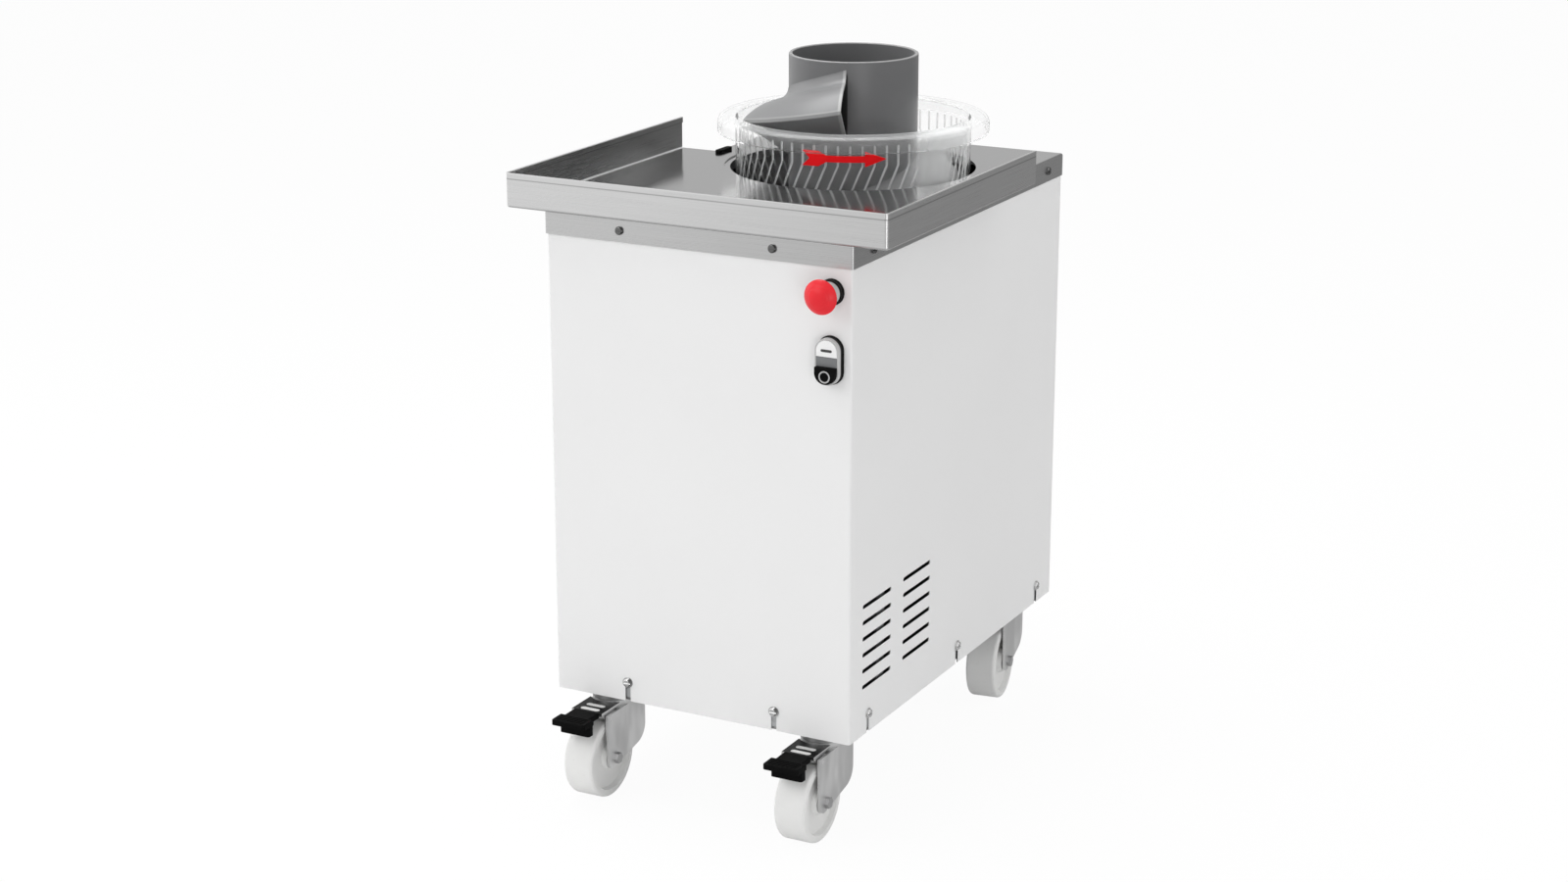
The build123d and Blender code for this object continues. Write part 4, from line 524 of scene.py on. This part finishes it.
def white_nylon():
    """Off-white, with a few scuffs from the floor."""
    nylon = Finish("white_nylon", Specular_IOR_Level=0.4)
    cloud = nylon.grain(40.0, detail=3.0)
    skin = nylon.grain(500.0, detail=3.0)
    scuff = nylon.ramp(nylon.grain(160.0, detail=5.0), 0.58, 0.74)
    body = nylon.shade(cloud, (0.76, 0.76, 0.75), (0.82, 0.82, 0.81))
    nylon.set(
        Base_Color=nylon.shade(scuff * 0.12, body, (0.52, 0.51, 0.49)),
        Roughness=0.40 + cloud * 0.08 + scuff * 0.1,
        Normal=nylon.relief(skin, 0.00006, 0.5),
    )
    return nylon.material


def moulded(name, deep, pale, rough, skin_depth, skin_scale=750.0, gloss=0.5):
    resin = Finish(name, Specular_IOR_Level=gloss)
    cloud = resin.grain(60.0, detail=3.0)
    skin = resin.grain(skin_scale, detail=2.0)
    resin.set(
        Base_Color=resin.shade(cloud, deep, pale),
        Roughness=rough + cloud * 0.08,
        Normal=resin.relief(skin, skin_depth, 0.5),
    )
    return resin.material


def two_tone_ring(name, seam_y):
    """Satin silver in front of its seam, black behind it against the panel."""
    ring = Finish(name, Specular_IOR_Level=0.4)
    y = ring.axes(ring.spot())[1]
    behind = ring.past(y, seam_y, soft=0.0003)
    cloud = ring.grain(60.0, detail=3.0)
    silver = ring.shade(cloud, grey(0.44), grey(0.54))
    ring.set(
        Base_Color=ring.shade(behind, silver, grey(0.004)),
        Roughness=0.28 + cloud * 0.08 + behind * 0.2,
        Normal=ring.relief(ring.grain(750.0), 0.00003, 0.5),
    )
    return ring.material


# Groove on the mushroom head: its radius and half its width
HEAD_GROOVE_R, HEAD_GROOVE_HALF = 0.0125, 0.0008


def red_moulding():
    """Satin red with a fine groove round the face of the mushroom head."""
    red = Finish("red_moulding", Specular_IOR_Level=0.3)
    x, _, z = red.axes(red.spot())
    radius = red.round_about(x, z, ESTOP_X, ESTOP_Z)
    groove = red.before(abs(radius - HEAD_GROOVE_R), HEAD_GROOVE_HALF, soft=0.0004)
    cloud = red.grain(60.0, detail=3.0)
    skin = red.grain(900.0)
    red.set(
        Base_Color=red.shade(cloud, (0.72, 0.012, 0.022), (0.78, 0.018, 0.028)),
        Roughness=0.30 + cloud * 0.08,
        Normal=red.relief(skin * 0.15 - groove, 0.0002, 0.7),
    )
    return red.material


def red_film():
    film = Finish("red_film", Specular_IOR_Level=0.12)
    cloud = film.grain(90.0, detail=3.0)
    film.set(
        Base_Color=film.shade(cloud, (0.72, 0.003, 0.006), (0.78, 0.006, 0.010)),
        Roughness=0.38 + cloud * 0.1,
        Normal=film.relief(film.grain(400.0), 0.00003, 0.4),
    )
    return film.material


smoke, pale_smoke = (0.16, 0.165, 0.17), (0.20, 0.205, 0.21)
finishes = {
    "white_paint": white_powder_coat(),
    "stainless": brushed_stainless("brushed_stainless", dark=0.54, light=0.74),
    "zinc_steel": zinc_plate(),
    "bare_steel": machined_steel(),
    "galvanised": galvanised(),
    "cast_alloy": cast_alloy(),
    "clear_plastic": clear_moulding(),
    "grey_plastic": grey_moulding(),
    "white_nylon": white_nylon(),
    "black_plastic": moulded(
        "black_moulding", grey(0.003), grey(0.007), rough=0.50, skin_depth=0.0001, gloss=0.03
    ),
    "red_plastic": red_moulding(),
    "white_plastic": moulded("white_cap", grey(0.82), grey(0.87), rough=0.30, skin_depth=0.00003),
    "silver_plastic": moulded("satin_silver", grey(0.50), grey(0.60), rough=0.28, skin_depth=0.00003),
    "lens_plastic": moulded("smoked_lens", smoke, pale_smoke, rough=0.22, skin_depth=0.00002),
    "rubber": moulded(
        "black_rubber",
        grey(0.006),
        grey(0.012),
        rough=0.62,
        skin_depth=0.00012,
        skin_scale=500.0,
        gloss=0.15,
    ),
}
arrow_film = red_film()
dark_print = moulded("dark_print", grey(0.03), grey(0.05), rough=0.4, skin_depth=0.00002)
pale_print = moulded("pale_print", grey(0.42), grey(0.48), rough=0.4, skin_depth=0.00002)


def dress(material, *names):
    for name in names:
        for slot in nodes[name].material_slots:
            slot.material = material


for part in frame["record"]["subparts"]:
    dress(finishes[part["material_slot"]], part["node"])
corners = ("front_left", "front_right", "rear_left", "rear_right")
dress(lever_plate(), "brake_lever_front_left", "brake_lever_front_right")
dress(flight_moulding(), "auger_flight")
dress(two_tone_ring("stop_collar", ESTOP_SEAM_Y), "estop_collar")
dress(two_tone_ring("button_frame", BEZEL_SEAM_Y), "button_bezel")
dress(screw_plate(), "cabinet_screws")
dress(fork_plate(), *[f"fork_{corner}" for corner in corners])
# The lid's steel is a darker copy of the tray's: painted shade, as under the tray's overhang
dress(brushed_stainless("lid_stainless", dark=0.46, light=0.64), "lid")


# Pieces that the solids leave to the looks
def settle(name, mesh, material, body):
    mesh.name = name
    mesh.materials.clear()
    mesh.materials.append(material)
    piece = bpy.data.objects.new(name, mesh)
    scene.collection.objects.link(piece)
    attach(piece, body)


def flat_sheet(*outlines):
    sheet = bmesh.new()
    for outline in outlines:
        sheet.faces.new([sheet.verts.new(point) for point in outline])
    return sheet


def thickened(sheet, thickness):
    """A plain mesh of the sheet given a thickness, outwards along its normals."""
    mesh = bpy.data.meshes.new("sheet")
    sheet.to_mesh(mesh)
    sheet.free()
    carrier = bpy.data.objects.new("carrier", mesh)
    scene.collection.objects.link(carrier)
    wall = carrier.modifiers.new("wall", "SOLIDIFY")
    wall.thickness = thickness
    wall.offset = 1.0
    ready = carrier.evaluated_get(bpy.context.evaluated_depsgraph_get())
    solid = bpy.data.meshes.new_from_object(ready)
    bpy.data.objects.remove(carrier)
    bpy.data.meshes.remove(mesh)
    return solid


# Red turning arrow on the bowl's wall: along the wall and up, in millimetres from its middle
TAIL, NOTCH, FEATHER, NECK, BARB, TIP = -67.0, -57.4, -46.2, -36.5, 10.3, 36.7
WIDE, NARROW = 9.4, 4.0
ARROW_HALF = (
    ((TAIL, WIDE), (NOTCH, 0.0), (NECK, 0.0), (NECK, NARROW), (FEATHER, WIDE)),
    ((NECK, 0.0), (BARB, 0.0), (BARB, NARROW), (NECK, NARROW)),
    ((BARB, 0.0), (TIP, 0.0), (BARB, WIDE), (BARB, NARROW)),
)
ARROW_STEP = 3.0
SAME_POINT = 1e-4
ARROW_ANGLE = math.radians(-62.0)
ARROW_Z = 0.7563
FILM_T = 0.0002
FILM_R = BOWL_R + FILM_T / 8


def arrow_sheet():
    """The arrow cut into narrow strips and bent round the bowl, facing outwards."""
    both = [[(along, half * up, 0) for along, up in part] for half in (1, -1) for part in ARROW_HALF]
    sheet = flat_sheet(*both)
    bmesh.ops.remove_doubles(sheet, verts=sheet.verts[:], dist=SAME_POINT)
    cut = TAIL + ARROW_STEP
    while cut < TIP:
        everything = sheet.verts[:] + sheet.edges[:] + sheet.faces[:]
        bmesh.ops.bisect_plane(sheet, geom=everything, plane_co=(cut, 0, 0), plane_no=(1, 0, 0))
        cut += ARROW_STEP
    for vert in sheet.verts:
        along, up = vert.co.x / 1000, vert.co.y / 1000
        angle = ARROW_ANGLE + along / BOWL_R
        vert.co = (FILM_R * math.cos(angle), BOWL_AXIS_Y + FILM_R * math.sin(angle), ARROW_Z + up)
    for face in sheet.faces:
        face.normal_update()
        middle = face.calc_center_median() - Vector((0, BOWL_AXIS_Y, 0))
        if face.normal.dot(Vector((middle.x, middle.y, 0))) < 0:
            face.normal_flip()
    return sheet


settle("turning_arrow", thickened(arrow_sheet(), FILM_T), arrow_film, "turning_bowl")

# Marks on the two buttons: a bar on the start button, a ring on the stop button
BAR_L, BAR_H, BAR_Z = 0.0140, 0.0031, 0.5990
RING_OUT, RING_IN, RING_Z = 0.0070, 0.0054, 0.5700
RING_STEPS = 48
MARK_T = 0.00015
END_STEPS = 12


def oblong(length, height):
    """Outline of a bar with round ends, about its middle."""
    points = []
    for side in (1, -1):
        for step in range(END_STEPS + 1):
            turn = math.pi * step / END_STEPS
            along = side * ((length - height) / 2 + height / 2 * math.sin(turn))
            points.append((along, side * -height / 2 * math.cos(turn)))
    return points


def ring_sheet():
    def edge_point(radius, step):
        turn = 2 * math.pi * step / RING_STEPS
        return (BUTTONS_X + radius * math.cos(turn), STOP_FACE_Y, RING_Z + radius * math.sin(turn))

    sheet = bmesh.new()
    outer, inner = [
        [sheet.verts.new(edge_point(radius, step)) for step in range(RING_STEPS)]
        for radius in (RING_OUT, RING_IN)
    ]
    for step in range(RING_STEPS):
        after = (step + 1) % RING_STEPS
        sheet.faces.new((outer[step], outer[after], inner[after], inner[step]))
    return sheet


bar_sheet = flat_sheet(
    [(BUTTONS_X + along, START_FACE_Y, BAR_Z + up) for along, up in oblong(BAR_L, BAR_H)]
)
settle("start_bar", thickened(bar_sheet, MARK_T), dark_print, "start_button")
settle("stop_ring", thickened(ring_sheet(), MARK_T), pale_print, "stop_button")


# Repeated pieces, grown by node trees from their sizes
class Growth(Graph):
    """A geometry tree with named sizes; grow() gives the plain mesh it makes."""

    def __init__(self, name, sizes):
        super().__init__(bpy.data.node_groups.new(name, "GeometryNodeTree"))
        face = self.tree.interface
        self.sizes = dict(sizes)
        for key, value in sizes.items():
            kind = "NodeSocketInt" if isinstance(value, int) else "NodeSocketFloat"
            face.new_socket(key, in_out="INPUT", socket_type=kind)
        face.new_socket("Geometry", in_out="OUTPUT", socket_type="NodeSocketGeometry")
        self.entry = self.node("NodeGroupInput").socket.node

    def size(self, name):
        return Wire(self, self.entry.outputs[name])

    def rod(self, sides):
        sockets = {"Vertices": sides, "Radius": self.size("Radius"), "Depth": self.size("Length")}
        return self.node("GeometryNodeMeshCylinder", None, sockets)

    def grow(self, shapes, material):
        solid = self.node("GeometryNodeRealizeInstances", None, {"Geometry": shapes})
        sockets = {"Geometry": solid, "Material": material}
        coloured = self.node("GeometryNodeSetMaterial", None, sockets)
        self.node("NodeGroupOutput", None, {"Geometry": coloured})
        carrier = bpy.data.objects.new("carrier", bpy.data.meshes.new("carrier"))
        scene.collection.objects.link(carrier)
        grown = carrier.modifiers.new("grown", "NODES")
        grown.node_group = self.tree
        for item in self.tree.interface.items_tree:
            if item.in_out == "INPUT":
                grown[item.identifier] = self.sizes[item.name]
        ready = carrier.evaluated_get(bpy.context.evaluated_depsgraph_get())
        mesh = bpy.data.meshes.new_from_object(ready)
        bpy.data.objects.remove(carrier)
        return mesh


def grip_ridges(material):
    """Half-round ridges across a pedal's tread, one behind the other along Y."""
    sizes = {"Ridges": 4, "Pitch": 0.0042, "Length": 0.036, "Radius": 0.0009}
    ridges = Growth("grip_ridges", sizes)
    step = ridges.node("ShaderNodeCombineXYZ", None, {"Y": ridges.size("Pitch")})
    line = {"Count": ridges.size("Ridges"), "Offset": step}
    row = ridges.node("GeometryNodeMeshLine", None, line)
    laid = {"Points": row, "Instance": ridges.rod(sides=16), "Rotation": (0, math.pi / 2, 0)}
    return ridges.grow(ridges.node("GeometryNodeInstanceOnPoints", None, laid), material)


def gland_flutes(material):
    """Half-round flutes round the gland's dome, each lying along Z."""
    sizes = {"Flutes": 20, "Ring radius": 0.01125, "Length": 0.013, "Radius": 0.0007}
    flutes = Growth("gland_flutes", sizes)
    circle = {"Vertices": flutes.size("Flutes"), "Radius": flutes.size("Ring radius")}
    ring = flutes.node("GeometryNodeMeshCircle", None, circle)
    placed = {"Points": ring, "Instance": flutes.rod(sides=12)}
    return flutes.grow(flutes.node("GeometryNodeInstanceOnPoints", None, placed), material)


# First ridge from the pedal's toe, middle of the flutes from the gland's outer end
GRIPS_FROM_TOE = 0.005
FLUTES_FROM_END = 0.011

black = finishes["black_plastic"]
for side in ("left", "right"):
    low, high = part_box(f"brake_pedal_front_{side}")
    mesh = grip_ridges(black)
    mesh.transform(Matrix.Translation(((low.x + high.x) / 2, low.y + GRIPS_FROM_TOE, high.z)))
    settle(f"pedal_grips_{side}", mesh, black, f"brake_front_{side}")

# White pads that fill the slots of the brake levers, standing for the lit wheel seen through the slots:
# painted light
PAD_L, PAD_W, PAD_T = 0.0255, 0.0070, 0.0050
PAD_TOP_Z = 0.1146
PAD_PLACES_Y = (-0.293, -0.280)


def pads_sheet(middle_x):
    def outline(middle_y):
        foot_z = PAD_TOP_Z - PAD_T
        return [(middle_x + along, middle_y + up, foot_z) for along, up in oblong(PAD_L, PAD_W)]

    return flat_sheet(*[outline(middle_y) for middle_y in PAD_PLACES_Y])


nylon = finishes["white_nylon"]
for side, middle_x in (("left", -CASTOR_X), ("right", CASTOR_X)):
    mesh = thickened(pads_sheet(middle_x), PAD_T)
    settle(f"lit_slot_pads_{side}", mesh, nylon, f"brake_front_{side}")

low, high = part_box("cable_gland")
mesh = gland_flutes(black)
turned = Matrix.Rotation(math.pi / 2, 4, "X")
mesh.transform(Matrix.Translation((GLAND_X, high.y - FLUTES_FROM_END, GLAND_Z)) @ turned)
settle("gland_grips", mesh, black, "cabinet")

# Floor, white where it is looked at, with the machine's shadow kept; metal mirrors it darker to the rear
FLOOR_HALF = 9.0
FLOOR_DROP = 0.0005
FLOOR_GLOW = 0.95
FLOOR_LEFT, FLOOR_RIGHT, FLOOR_REAR = 1.0, 0.56, 0.30
LEFT_END_X, RIGHT_START_X = -1.5, -0.7
REARWARD_X, REARWARD_Y = 0.47, 0.88
REAR_START, REAR_FULL = 0.2, 1.6


def pale_floor():
    floor = Finish("pale_floor")
    seen, mirrored, through = floor.light_paths()
    x, y = floor.axes(floor.spot())[:2]
    rear = floor.ramp(x * REARWARD_X + y * REARWARD_Y, REAR_START, REAR_FULL)
    right = floor.ramp(x, LEFT_END_X, RIGHT_START_X)
    near_tone = floor.shade(right, grey(FLOOR_LEFT), grey(FLOOR_RIGHT))
    mirror_tone = floor.shade(rear, near_tone, grey(FLOOR_REAR))
    matt = floor.node("ShaderNodeBsdfDiffuse", None, {"Color": (0.9, 0.9, 0.9, 1)})
    glow = floor.node("ShaderNodeEmission", None, {"Color": (1, 1, 1, 1)})
    mirror_glow = floor.node("ShaderNodeEmission", None, {"Color": mirror_tone})
    sockets = {0: seen.or_more(through) * FLOOR_GLOW, 1: matt, 2: glow}
    direct = floor.node("ShaderNodeMixShader", None, sockets)
    sockets = {0: mirrored * (1 - through), 1: direct, 2: mirror_glow}
    floor.surface(floor.node("ShaderNodeMixShader", None, sockets))
    return floor.material


sheet = bmesh.new()
bmesh.ops.create_grid(sheet, x_segments=2, y_segments=2, size=FLOOR_HALF)
floor_mesh = bpy.data.meshes.new("floor")
sheet.to_mesh(floor_mesh)
sheet.free()
floor_mesh.materials.append(pale_floor())
floor = bpy.data.objects.new("floor", floor_mesh)
floor.location.z = cad_low.z - FLOOR_DROP
scene.collection.objects.link(floor)

# Studio: a white surround, softer for the light it gives, with grey cards behind for what metal mirrors
SURROUND = 0.62
CARDS = (((-0.45, 0.85, 0.28), 0.40), ((0.60, 0.79, 0.12), 0.72))
CARD_EDGE, CARD_FULL = 0.60, 0.95

world = bpy.data.worlds.new("studio")
world.use_nodes = True
scene.world = world
surround = Graph(world.node_tree)
seen, mirrored, through = surround.light_paths()
across = surround.axes(surround.node("ShaderNodeTexCoord", out="Generated"))
in_metal = mirrored
for card_towards, depth in CARDS:
    towards = sum(axis * share for axis, share in zip(across, card_towards))
    in_metal = in_metal * (1 - surround.ramp(towards, CARD_EDGE, CARD_FULL) * depth)
strength = seen.or_more(through).or_more(in_metal).or_more(SURROUND * (1 - mirrored))
surround.fill(world.node_tree.nodes["Background"], {"Color": (1, 1, 1, 1), "Strength": strength})

AIM = Vector((0, 0, 0.45))


def soft_lamp(name, place, size, watts):
    lamp = bpy.data.objects.new(name, bpy.data.lights.new(name, "AREA"))
    lamp.data.shape = "SQUARE"
    lamp.data.size = size
    lamp.data.energy = watts
    lamp.location = place
    lamp.rotation_mode = "QUATERNION"
    lamp.rotation_quaternion = (AIM - Vector(place)).to_track_quat("-Z", "Y")
    scene.collection.objects.link(lamp)


soft_lamp("key_lamp", place=(-1.6, -3.2, 2.6), size=2.2, watts=31)
soft_lamp("low_lamp", place=(2.2, -2.5, 0.35), size=1.2, watts=13)
soft_lamp("side_lamp", place=(-3.2, -0.6, 1.6), size=2.0, watts=15)
soft_lamp("fill_lamp", place=(3.0, 1.6, 1.7), size=1.6, watts=16)
soft_lamp("top_lamp", place=(-0.6, 0.0, 2.8), size=1.6, watts=38)
